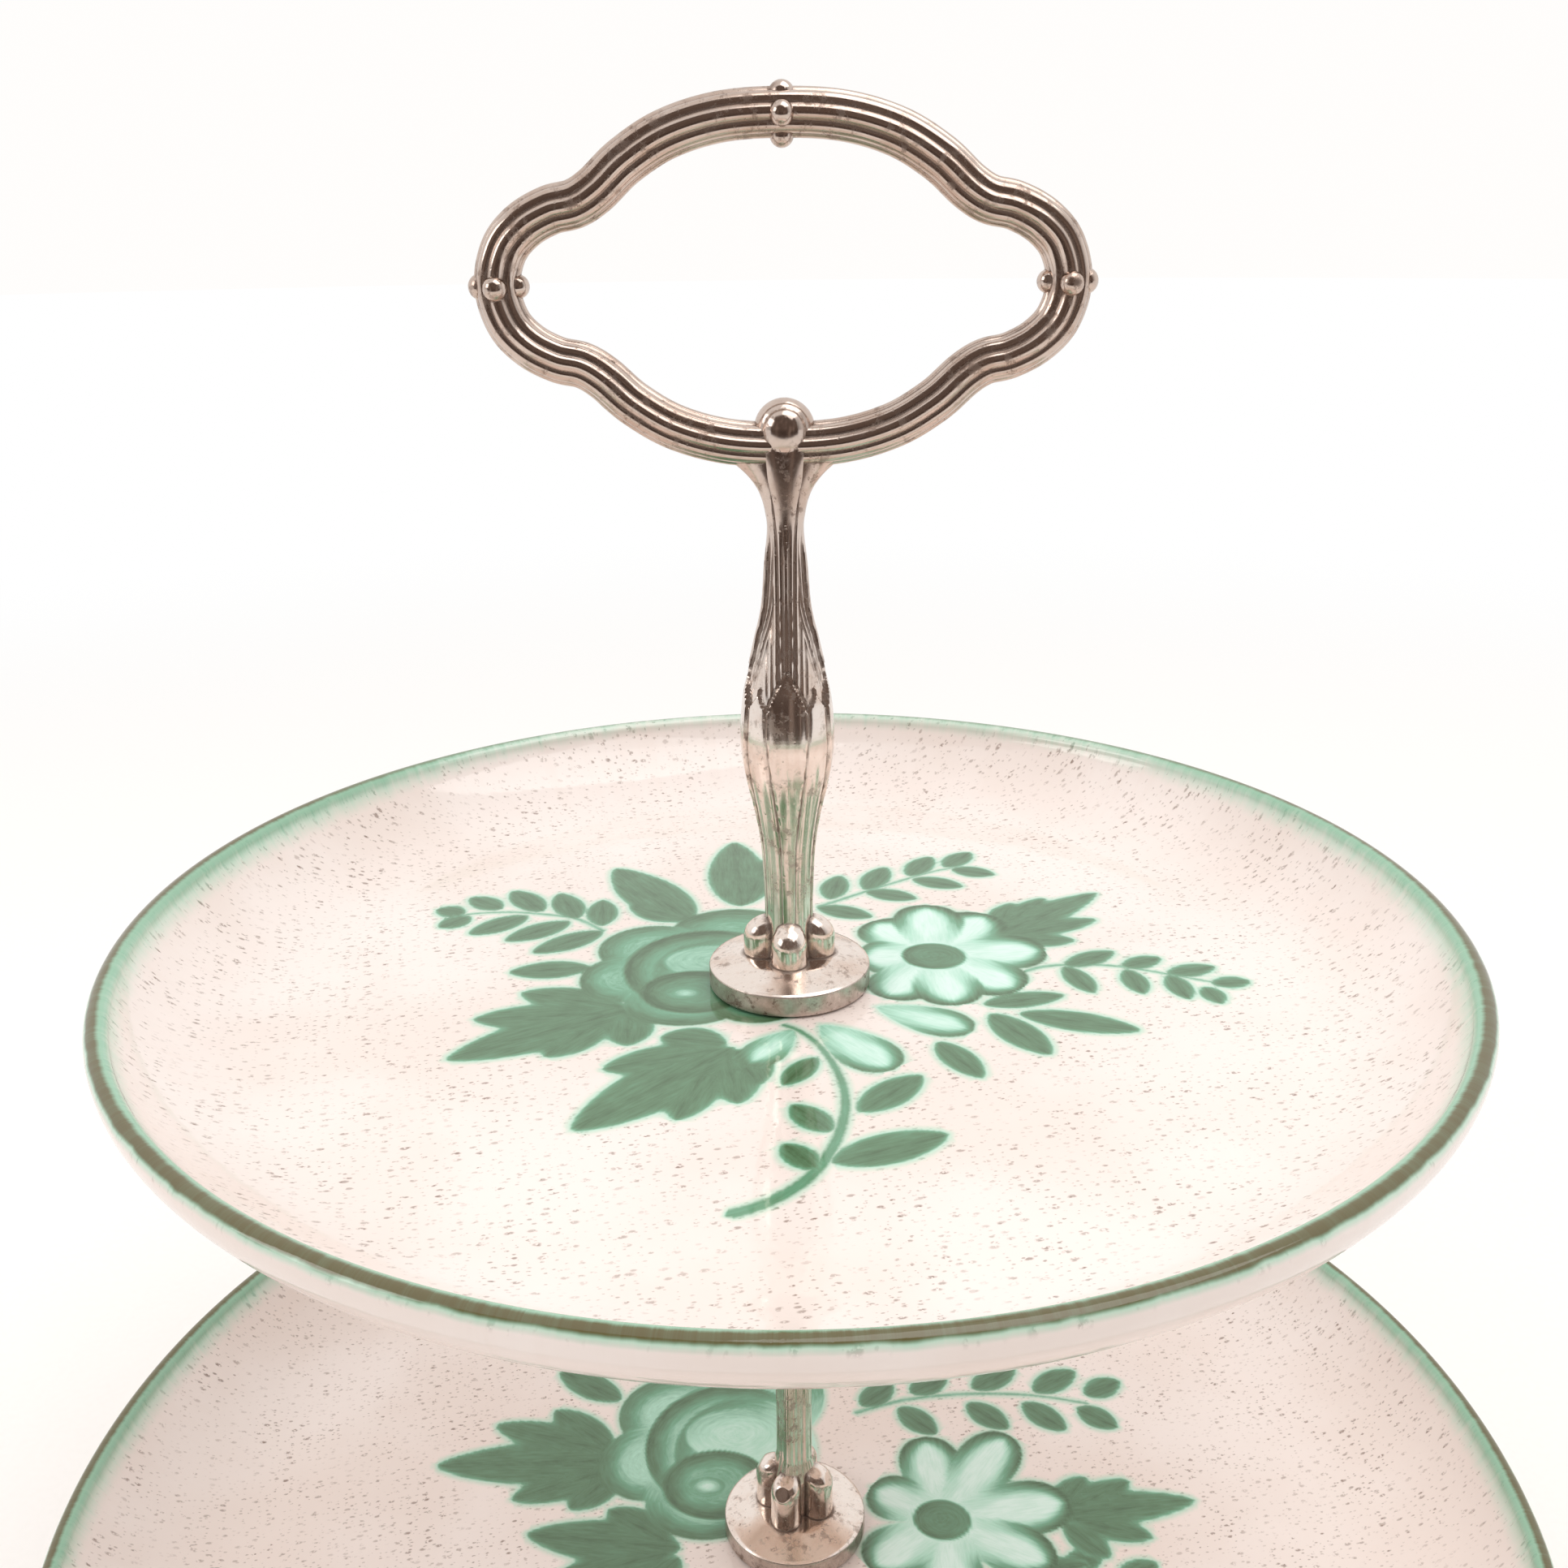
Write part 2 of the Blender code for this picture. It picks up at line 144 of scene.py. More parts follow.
def bezier(start: Point, leave: Point, arrive: Point, end: Point, count: int) -> list[Point]:
    """Points along a cubic curve.

    Args:
        start: Where it starts.
        leave: The handle of its start.
        arrive: The handle of its end.
        end: Where it ends.
        count: How many points follow the first, which is left out.

    Returns:
        The points.
    """
    points = []
    for i in range(1, count + 1):
        t = i / count
        u = 1 - t
        weights = (u**3, 3 * u * u * t, 3 * u * t * t, t**3)
        corners = (start, leave, arrive, end)
        points.append(
            tuple(sum(w * corner[k] for w, corner in zip(weights, corners)) for k in (0, 1))
        )
    return points


def arc(centre: Point, radius: float, first: float, last: float, count: int) -> list[Point]:
    """Points along an arc.

    Args:
        centre: Its centre.
        radius: Its radius.
        first: Its first angle in degrees.
        last: Its last angle in degrees.
        count: How many points it gets, both ends included.

    Returns:
        The points.
    """
    angles = np.radians(np.linspace(first, last, count))
    return [
        (centre[0] + radius * math.cos(angle), centre[1] + radius * math.sin(angle))
        for angle in angles
    ]


def places(obj: bpy.types.Object) -> Array:
    """The vertices of a mesh, one row each."""
    flat = np.empty(len(obj.data.vertices) * 3)
    obj.data.vertices.foreach_get("co", flat)
    return flat.reshape(-1, 3)


def set_places(obj: bpy.types.Object, points: Array) -> None:
    """Moves the vertices of a mesh to the given points."""
    obj.data.vertices.foreach_set("co", np.ascontiguousarray(points, np.float32).ravel())
    obj.data.update()


def store(obj: bpy.types.Object, name: str, values: Array) -> None:
    """Keeps one number for each vertex in a named attribute."""
    kept = obj.data.attributes.new(name, "FLOAT", "POINT")
    kept.data.foreach_set("value", np.ascontiguousarray(values, np.float32))


def pick(obj: bpy.types.Object) -> None:
    """Makes an object the only selected one, and the active one."""
    bpy.ops.object.select_all(action="DESELECT")
    obj.select_set(True)
    bpy.context.view_layer.objects.active = obj


@contextmanager
def editing(obj: bpy.types.Object) -> Iterator[None]:
    """Opens a mesh in edit mode with all of it selected, and closes it again.

    Args:
        obj: The mesh to edit. Everything else is deselected.

    Yields:
        Nothing.
    """
    pick(obj)
    bpy.ops.object.mode_set(mode="EDIT")
    bpy.ops.mesh.select_all(action="SELECT")
    yield
    bpy.ops.object.mode_set(mode="OBJECT")


def lathe(name: str, outline: list[Point], segments: int) -> bpy.types.Object:
    """A closed outline turned about the stand's axis.

    Args:
        name: The new object's name.
        outline: Points of radius and height, in order round the section.
        segments: How many steps the turn takes.

    Returns:
        The turned object.
    """
    bpy.ops.object.select_all(action="DESELECT")
    bpy.ops.mesh.primitive_circle_add(vertices=len(outline), fill_type="NOTHING")
    obj = bpy.context.object
    obj.name = name
    set_places(obj, np.array([(radius, 0.0, height) for radius, height in outline]))
    turn = obj.modifiers.new("turn", "SCREW")
    turn.angle = math.tau
    turn.steps = turn.render_steps = segments
    turn.use_merge_vertices = True
    turn.merge_threshold = MERGE
    bpy.ops.object.modifier_apply(modifier="turn")
    with editing(obj):
        bpy.ops.mesh.remove_doubles(threshold=MERGE)
        bpy.ops.mesh.normals_make_consistent(inside=False)
    return obj


def skin(name: str, points: Array, looped: bool = False) -> bpy.types.Object:
    """A closed surface over rings of points, wrapped from a flat grid.

    Args:
        name: The new object's name.
        points: Rings, points round each ring, and their three coordinates. Rings that
            shrink to a point close the ends.
        looped: Whether the last ring joins the first.

    Returns:
        The closed object.
    """
    if looped:
        points = np.concatenate([points, points[:1]])
    points = np.concatenate([points, points[:, :1]], axis=1)
    rings, sides = points.shape[0] - 1, points.shape[1] - 1
    bpy.ops.object.select_all(action="DESELECT")
    bpy.ops.mesh.primitive_grid_add(x_subdivisions=sides, y_subdivisions=rings, size=1)
    obj = bpy.context.object
    obj.name = name
    flat = places(obj)
    column = np.rint((flat[:, 0] + 0.5) * sides).astype(int)
    row = np.rint((flat[:, 1] + 0.5) * rings).astype(int)
    set_places(obj, points[row, column])
    with editing(obj):
        bpy.ops.mesh.remove_doubles(threshold=MERGE)
        bpy.ops.mesh.normals_make_consistent(inside=False)
    return obj


def wrap(name: str, rings: Rings, angle: Array, seat: float = 0.0) -> bpy.types.Object:
    """A closed surface over rings about the stand's axis.

    Args:
        name: The new object's name.
        rings: The radius and the height of each ring, as numbers or at each angle.
        angle: The angles round a ring.
        seat: What is added to the heights.

    Returns:
        The closed object.
    """
    whole = np.ones_like(angle)
    points = [
        np.stack([r * np.cos(angle), r * np.sin(angle), (seat + h) * whole], axis=1)
        for r, h in rings
    ]
    return skin(name, np.stack(points))


def ball(name: str, centre: Vector, radii: Point, sides: int) -> bpy.types.Object:
    """A cast ball, which may be flattened through the handle's plane.

    Args:
        name: The new object's name.
        centre: Its centre.
        radii: Its radius in the ring's plane, and through it.
        sides: How many segments it has round its waist.

    Returns:
        The ball.
    """
    bpy.ops.object.select_all(action="DESELECT")
    bpy.ops.mesh.primitive_uv_sphere_add(segments=sides, ring_count=sides // 2, radius=1)
    obj = bpy.context.object
    obj.name = name
    stretch = np.array([radii[0], radii[1], radii[0]])
    set_places(obj, places(obj) * stretch + np.array(centre))
    return obj


def combine(obj: bpy.types.Object, other: bpy.types.Object, operation: str = "UNION") -> None:
    """Joins another closed shape to an object, or cuts it out, and removes that shape.

    Args:
        obj: The object that changes.
        other: The shape that is used up.
        operation: UNION or DIFFERENCE.
    """
    change = obj.modifiers.new(other.name, "BOOLEAN")
    change.operation = operation
    change.solver = "EXACT"
    change.object = other
    pick(obj)
    bpy.ops.object.modifier_apply(modifier=change.name)
    bpy.data.objects.remove(other, do_unlink=True)


def mark_hollows(
    obj: bpy.types.Object, softening: int = 3, worn_edge: Place = (0.0122, 0.0006, 0.0033)
) -> None:
    """Keeps how hollow or proud the metal is, so that tarnish gathers in its grooves.

    Args:
        obj: The mesh, which gets the attributes hollow and proud, each from 0 to 1.
        softening: How often the measure is averaged with its neighbours.
        worn_edge: The radius, half the width and the height of the foot's dirty edge.
    """
    mesh = obj.data
    points = places(obj)
    normals = np.empty(len(points) * 3, np.float32)
    mesh.vertices.foreach_get("normal", normals)
    normals = normals.reshape(-1, 3)
    ends = np.empty(len(mesh.edges) * 2, np.int32)
    mesh.edges.foreach_get("vertices", ends)
    a, b = ends.reshape(-1, 2).T
    run = points[b] - points[a]
    square = np.maximum((run**2).sum(axis=1), 1e-12)
    count = np.bincount(np.concatenate([a, b]), minlength=len(points)).clip(1)
    bend = (
        np.bincount(a, (normals[a] * run).sum(axis=1) / square, len(points))
        - np.bincount(b, (normals[b] * run).sum(axis=1) / square, len(points))
    ) / count
    bend = np.clip(bend * MM, -2.0, 2.0)
    for _ in range(softening):
        spread = np.bincount(a, bend[b], len(points)) + np.bincount(b, bend[a], len(points))
        bend = 0.5 * bend + 0.5 * spread / count
    away = np.hypot(points[:, 0], points[:, 1])
    above = points[:, 2] - points[:, 2].min()
    radius, half, height = worn_edge
    foot = 0.5 * (np.abs(away - radius) < half) * (above < height)
    store(obj, "hollow", np.maximum(smooth(bend, 0.04, 0.6), foot))
    store(obj, "proud", smooth(-bend, 0.15, 0.7))


# Materials


class Value:
    """A number in a material, whose arithmetic adds Math nodes."""

    def __init__(self, graph: "Graph", socket: bpy.types.NodeSocket) -> None:
        """Wraps the socket that gives the number."""
        self.graph = graph
        self.socket = socket

    def _math(self, operation: str, first: Any, second: Any) -> "Value":
        """One Math node on two numbers."""
        made = self.graph.node("ShaderNodeMath", {"operation": operation}, {0: first, 1: second})
        return Value(self.graph, made.outputs[0])

    def __add__(self, other: Any) -> "Value":
        """The sum."""
        return self._math("ADD", self, other)

    __radd__ = __add__

    def __sub__(self, other: Any) -> "Value":
        """The difference."""
        return self._math("SUBTRACT", self, other)

    def __rsub__(self, other: Any) -> "Value":
        """The difference, from the other number."""
        return self._math("SUBTRACT", other, self)

    def __mul__(self, other: Any) -> "Value":
        """The product."""
        return self._math("MULTIPLY", self, other)

    __rmul__ = __mul__

    def __truediv__(self, other: Any) -> "Value":
        """The quotient."""
        return self._math("DIVIDE", self, other)

    def __pow__(self, other: Any) -> "Value":
        """The power."""
        return self._math("POWER", self, other)

    def least(self, other: Any) -> "Value":
        """The smaller of the two."""
        return self._math("MINIMUM", self, other)

    def most(self, other: Any) -> "Value":
        """The larger of the two."""
        return self._math("MAXIMUM", self, other)

    def clipped(self) -> "Value":
        """The number, held between 0 and 1."""
        return self.most(0.0).least(1.0)

    def step(self, low: float, high: float) -> "Value":
        """A soft step: 0 at low and 1 at high, which may be the lower of the two."""
        made = self.graph.node(
            "ShaderNodeMapRange",
            {"interpolation_type": "SMOOTHSTEP"},
            {"Value": self, "From Min": low, "From Max": high},
        )
        return Value(self.graph, made.outputs[0])


class Graph:
    """Builds the nodes of one material or of the world."""

    def __init__(self, owner: bpy.types.Material | bpy.types.World) -> None:
        """Starts with an empty tree."""
        self.owner = owner
        owner.use_nodes = True
        self.tree = owner.node_tree
        self.tree.nodes.clear()

    @classmethod
    def material(cls, name: str) -> "Graph":
        """The graph of a new material."""
        return cls(bpy.data.materials.new(name))

    def node(
        self, kind: str, settings: dict[str, Any] | None = None, sockets: dict | None = None
    ) -> bpy.types.Node:
        """Adds a node.

        Args:
            kind: Its type.
            settings: Its properties. The stops of a ramp are pairs of place and colour.
            sockets: Its inputs by name or number: a Value, a socket, or a plain value.

        Returns:
            The node.
        """
        made = self.tree.nodes.new(kind)
        for key, setting in (settings or {}).items():
            if key != "stops":
                setattr(made, key, setting)
                continue
            stops = made.color_ramp.elements
            while len(stops) < len(setting):
                stops.new(0.5)
            for stop, (place, colour) in zip(stops, setting):
                stop.position = place
                stop.color = (*colour, 1.0)
        for key, given in (sockets or {}).items():
            given = given.socket if isinstance(given, Value) else given
            if isinstance(given, bpy.types.NodeSocket):
                self.tree.links.new(given, made.inputs[key])
            else:
                made.inputs[key].default_value = given
        return made

    def place(self) -> bpy.types.NodeSocket:
        """The point on the object, in metres."""
        return self.node("ShaderNodeTexCoord").outputs["Object"]

    def attribute(self, name: str) -> Value:
        """A number kept on the mesh's vertices."""
        made = self.node("ShaderNodeAttribute", {"attribute_name": name})
        return Value(self, made.outputs["Fac"])

    def axes(self, vector: bpy.types.NodeSocket) -> list[Value]:
        """The three numbers of a vector."""
        made = self.node("ShaderNodeSeparateXYZ", None, {0: vector})
        return [Value(self, made.outputs[k]) for k in range(3)]

    def vector(self, x: Any, y: Any, z: Any) -> bpy.types.NodeSocket:
        """A vector from three numbers."""
        return self.node("ShaderNodeCombineXYZ", None, {0: x, 1: y, 2: z}).outputs[0]

    def noise(
        self, vector: bpy.types.NodeSocket, scale: float, detail: float = 2.0, rough: float = 0.5
    ) -> Value:
        """Soft noise.

        Args:
            vector: Where it is read.
            scale: How many waves fit in one unit of the vector.
            detail: How many finer layers it has.
            rough: How strong the finer layers are.

        Returns:
            A number near 0.5, from 0 to 1.
        """
        sockets = {"Vector": vector, "Scale": scale, "Detail": detail, "Roughness": rough}
        return Value(self, self.node("ShaderNodeTexNoise", None, sockets).outputs[0])

    def mix(self, share: Any, first: Any, second: Any) -> bpy.types.NodeSocket:
        """A colour between two colours, which are sockets or three numbers each."""
        colours = [
            (*given, 1.0) if isinstance(given, tuple) else given for given in (first, second)
        ]
        sockets = {"Factor": share, 6: colours[0], 7: colours[1]}
        return self.node("ShaderNodeMix", {"data_type": "RGBA"}, sockets).outputs[2]

    def ramp(self, share: Any, stops: Stops) -> bpy.types.NodeSocket:
        """A colour read off a ramp."""
        return self.node("ShaderNodeValToRGB", {"stops": stops}, {0: share}).outputs[0]

    def specks(
        self,
        vector: bpy.types.NodeSocket,
        pitch: float,
        radius: float,
        share: float,
        flat: bool = True,
    ) -> Value:
        """Scattered small spots.

        Args:
            vector: Where they are read, in metres.
            pitch: The usual distance between two spots, in metres.
            radius: The radius of the largest spot, in metres.
            share: How many of the places hold a spot, from 0 to 1.
            flat: Whether they are read from the vector's first two numbers only.

        Returns:
            1 in a spot and 0 outside, with a soft edge.
        """
        kind = {"voronoi_dimensions": "2D" if flat else "3D"}
        cells = self.node("ShaderNodeTexVoronoi", kind, {"Vector": vector, "Scale": 1 / pitch})
        chance, size, _ = self.axes(cells.outputs["Color"])
        reach = size * (0.6 * radius / pitch) + 0.4 * radius / pitch
        distance = Value(self, cells.outputs["Distance"])
        return (1 - distance / reach).step(0.0, 0.6) * chance.step(share + 0.01, share)

    def relief(self, height: Value, depth: float) -> bpy.types.NodeSocket:
        """A bumped normal, where a height of 1 stands depth metres proud."""
        sockets = {"Height": height, "Distance": depth, "Strength": 1.0}
        return self.node("ShaderNodeBump", None, sockets).outputs[0]

    def finish(self, sockets: dict[str, Any]) -> bpy.types.Material:
        """Closes the material with its shader's sockets."""
        shader = self.node("ShaderNodeBsdfPrincipled", None, sockets)
        self.node("ShaderNodeOutputMaterial", None, {"Surface": shader.outputs[0]})
        return self.owner


def paint(red: int, green: int, blue: int) -> Colour:
    """A colour as it looks on a screen, made linear."""
    return tuple(
        c / 12.92 if c <= 0.04045 else ((c + 0.055) / 1.055) ** 2.4
        for c in (red / 255, green / 255, blue / 255)
    )


@dataclass(frozen=True)
class Glaze:
    """Speckled cream glaze, with the painted spray and the green and brown rim."""

    cream: Colour = paint(246, 234, 228)
    warm: Colour = paint(240, 225, 217)
    speck: Colour = paint(152, 130, 119)
    halo: Colour = paint(164, 216, 190)
    brown: Colour = paint(100, 92, 58)
    green: Colour = paint(120, 176, 142)
    clay: Colour = paint(196, 172, 152)
    roughness: float = 0.06
    tones: Stops = (
        (0.0, paint(222, 246, 236)),
        (0.25, paint(178, 224, 202)),
        (0.55, paint(112, 166, 134)),
        (0.85, paint(92, 127, 94)),
        (1.0, paint(74, 102, 70)),
    )

    def material(self, name: str) -> bpy.types.Material:
        """The glaze as a material.

        Args:
            name: The material's name.

        Returns:
            The material, which reads the attributes that Plate keeps on its mesh.
        """
        g = Graph.material(name)
        place = g.place()
        x, y, _ = g.axes(place)
        radius = (x * x + y * y) ** 0.5
        around = g.vector(x / radius, y / radius, 0.0)
        edge = g.attribute("edge")

        body = g.mix(g.noise(place, 28, 3).step(0.35, 0.68), self.cream, self.warm)
        slanted = g.vector(x * 0.97 + y * 0.24, (y * 0.97 - x * 0.24) * 1.9, 0.0)
        ragged = g.noise(place, 1900, 2)
        large = g.specks(slanted, 0.0027, 0.00085, 0.6) * ragged.step(0.36, 0.52)
        small = g.specks(slanted, 0.0014, 0.00046, 0.6) * ragged.step(0.38, 0.56)
        cloudy = g.noise(place, 110, 3).step(0.3, 0.7)
        open_glaze = edge.step(3.0, 1.2) + edge.step(16, 22)
        specks = large * (0.2 + 0.65 * cloudy) + small * (0.15 + 0.5 * cloudy)
        specks = (specks * open_glaze).clipped()
        drawn = g.noise(around, 52, 3, 0.6).step(0.42, 0.8) * edge.step(-24, -12) * 0.4
        body = g.mix(drawn, body, self.warm)
        body = g.mix(specks, body, self.speck)

        body = self.painted(g, body, place)
        body = self.rimmed(g, body, around, (y / radius).step(0.35, 1.0), edge)
        bare = g.attribute("bare")
        body = g.mix(bare, body, g.mix(g.noise(place, 900, 3), self.clay, self.warm))

        peel = g.noise(place, 420, 2) * 0.7 + g.noise(place, 110, 1) * 0.3
        height = peel * (1 - bare) + g.noise(place, 3000, 3) * bare - specks * 0.15
        return g.finish(
            {
                "Base Color": body,
                "Roughness": bare * 0.6 + specks * 0.1 + self.roughness,
                "Normal": g.relief(height, 0.00004),
                "IOR": 1.6,
            }
        )

    def painted(
        self, g: Graph, body: bpy.types.NodeSocket, place: bpy.types.NodeSocket
    ) -> bpy.types.NodeSocket:
        """Lays the brushwork over the glaze.

        Args:
            g: The material's graph.
            body: The colour below.
            place: The point on the object.

        Returns:
            The colour with the paint on it.
        """
        wobble = g.noise(place, 1500, 2) - 0.5
        line = g.attribute("line")
        gap = g.attribute("gap").least((line * line) ** 0.5 - g.attribute("half"))
        gap = gap + wobble * 0.4
        along, across = g.attribute("along"), g.attribute("across")
        streaks = g.noise(g.vector(along * 0.22, across * 1.7, 0.0), 1.0, 3, 0.6)
        pooled = g.noise(place, 260, 2)
        tone = g.attribute("dark") + (streaks - 0.5) * 0.34 + (pooled - 0.5) * 0.16
        body = g.mix(gap.step(1.7, 0.0) ** 1.8 * 0.6, body, self.halo)
        return g.mix(gap.step(0.32, -0.4), body, g.ramp(tone, self.tones))

    def rimmed(
        self,
        g: Graph,
        body: bpy.types.NodeSocket,
        around: bpy.types.NodeSocket,
        far: Value,
        edge: Value,
    ) -> bpy.types.NodeSocket:
        """Lays the rim's brown line and the green that has run from it.

        Args:
            g: The material's graph.
            body: The colour below.
            around: The level direction from the plate's axis to the point.
            far: 1 on the plate's far side, where less brown shows, and 0 in front.
            edge: The distance along the section from the rim's crest in millimetres,
                above zero outside.

        Returns:
            The colour with the rim on it.
        """
        runs = g.noise(around, 40, 5, 0.75)
        slow = g.noise(around, 1.1, 1)
        inner = edge + (runs - 0.5) * 2.4 + (slow - 0.5) * 4.0 - far * 2.2
        outer = edge + (g.noise(around, 22, 3) - 0.5) * 0.8
        tinted = inner.step(-6.2, -1.6) * outer.step(2.5, 1.4)
        body = g.mix(tinted * (0.35 + 0.6 * runs), body, self.halo)
        body = g.mix(inner.step(-3.2, -0.9) * outer.step(1.7, 1.1) * 0.7, body, self.green)
        line = (edge + (runs - 0.5) * 0.9 + (slow - 0.5) * 1.8).step(-0.8, 0.0)
        line = line * outer.step(1.6, 1.0) * (1 - 0.55 * far)
        return g.mix(line * (0.72 + 0.5 * runs).clipped(), body, self.brown)


@dataclass(frozen=True)
class AgedSilver:
    """Old silver plate: pale on its high places, brown in its hollows, pitted where flat."""

    bright: Colour = paint(238, 226, 217)
    browner_above: Colour = paint(164, 138, 123)
    warm: Colour = paint(212, 184, 166)
    tarnish: Colour = paint(96, 72, 58)
    roughness: float = 0.14
    pitting: float = 0.5

    def material(self, name: str) -> bpy.types.Material:
        """The silver as a material.

        Args:
            name: The material's name.

        Returns:
            The material, which reads the attributes that mark_hollows keeps.
        """
        g = Graph.material(name)
        place = g.place()
        x, y, z = g.axes(place)
        hollow, proud = g.attribute("hollow"), g.attribute("proud")
        clouds = g.noise(place, 150, 4, 0.65)
        grime = g.noise(place, 900, 4, 0.7)
        dirt = hollow * (0.5 + 1.1 * clouds) + (grime - 0.5) * 1.4 * hollow
        film = clouds.step(0.42, 0.72) * 0.5 + grime.step(0.5, 0.75) * 0.3
        stains = g.noise(place, 560, 4, 0.75).step(0.52, 0.62) * clouds.step(0.4, 0.58)
        film = film * (1 - proud * 0.6)
        colour = g.mix(film.clipped(), self.bright, self.warm)
        # The metal turns browner between 15 and 20 cm up and stays so above, mottled by the clouds.
        browner_above = z.step(0.15, 0.2) * (0.4 + 0.3 * clouds)
        colour = g.mix(browner_above, colour, self.browner_above)
        dirt = (dirt + stains * 0.6).clipped()
        colour = g.mix(dirt * 0.8, colour, self.tarnish)
        pits = g.specks(place, 0.0009, 0.00026, self.pitting, flat=False)
        pits = pits * g.noise(place, 210, 2).step(0.42, 0.6) * (0.4 + 0.6 * hollow)
        colour = g.mix(pits * 0.8, colour, self.tarnish)
        scratches = g.noise(g.vector(x, y, z * 0.12), 5200, 2)
        height = scratches * 0.25 + grime * 0.6 * (0.3 + hollow) - pits * 1.6
        return g.finish(
            {
                "Base Color": colour,
                "Metallic": 1 - dirt * 0.35,
                "Roughness": dirt * 0.3 + film * 0.14 + pits * 0.3 + self.roughness,
                "Normal": g.relief(height, 0.00002),
            }
        )


@dataclass(frozen=True)
class ZincSteel:
    """Zinc-plated steel of the fasteners, with the marks of its making."""

    pale: Colour = paint(196, 198, 194)
    dull: Colour = paint(142, 140, 132)
    roughness: float = 0.3

    def material(self, name: str) -> bpy.types.Material:
        """The steel as a material."""
        g = Graph.material(name)
        place = g.place()
        x, y, z = g.axes(place)
        radius = (x * x + y * y) ** 0.5
        turned = g.noise(g.vector(radius, 0.0, z), 9000, 2)
        stain = g.noise(place, 380, 3).step(0.4, 0.7)
        return g.finish(
            {
                "Base Color": g.mix(stain, self.pale, self.dull),
                "Metallic": 1.0,
                "Roughness": stain * 0.2 + turned * 0.12 + self.roughness,
                "Normal": g.relief(turned, 0.000008),
            }
        )


@dataclass(frozen=True)
class SoftWasher:
    """Cloudy grey rubber of the pads between metal and glaze."""

    pale: Colour = paint(176, 172, 162)
    dark: Colour = paint(132, 128, 118)
    roughness: float = 0.62

    def material(self, name: str) -> bpy.types.Material:
        """The rubber as a material."""
        g = Graph.material(name)
        place = g.place()
        grain = g.noise(place, 4200, 3)
        cloud = g.noise(place, 420, 2)
        return g.finish(
            {
                "Base Color": g.mix(cloud.step(0.3, 0.7), self.pale, self.dark),
                "Roughness": grain * 0.2 + self.roughness,
                "Normal": g.relief(grain, 0.00002),
            }
        )


# Painting


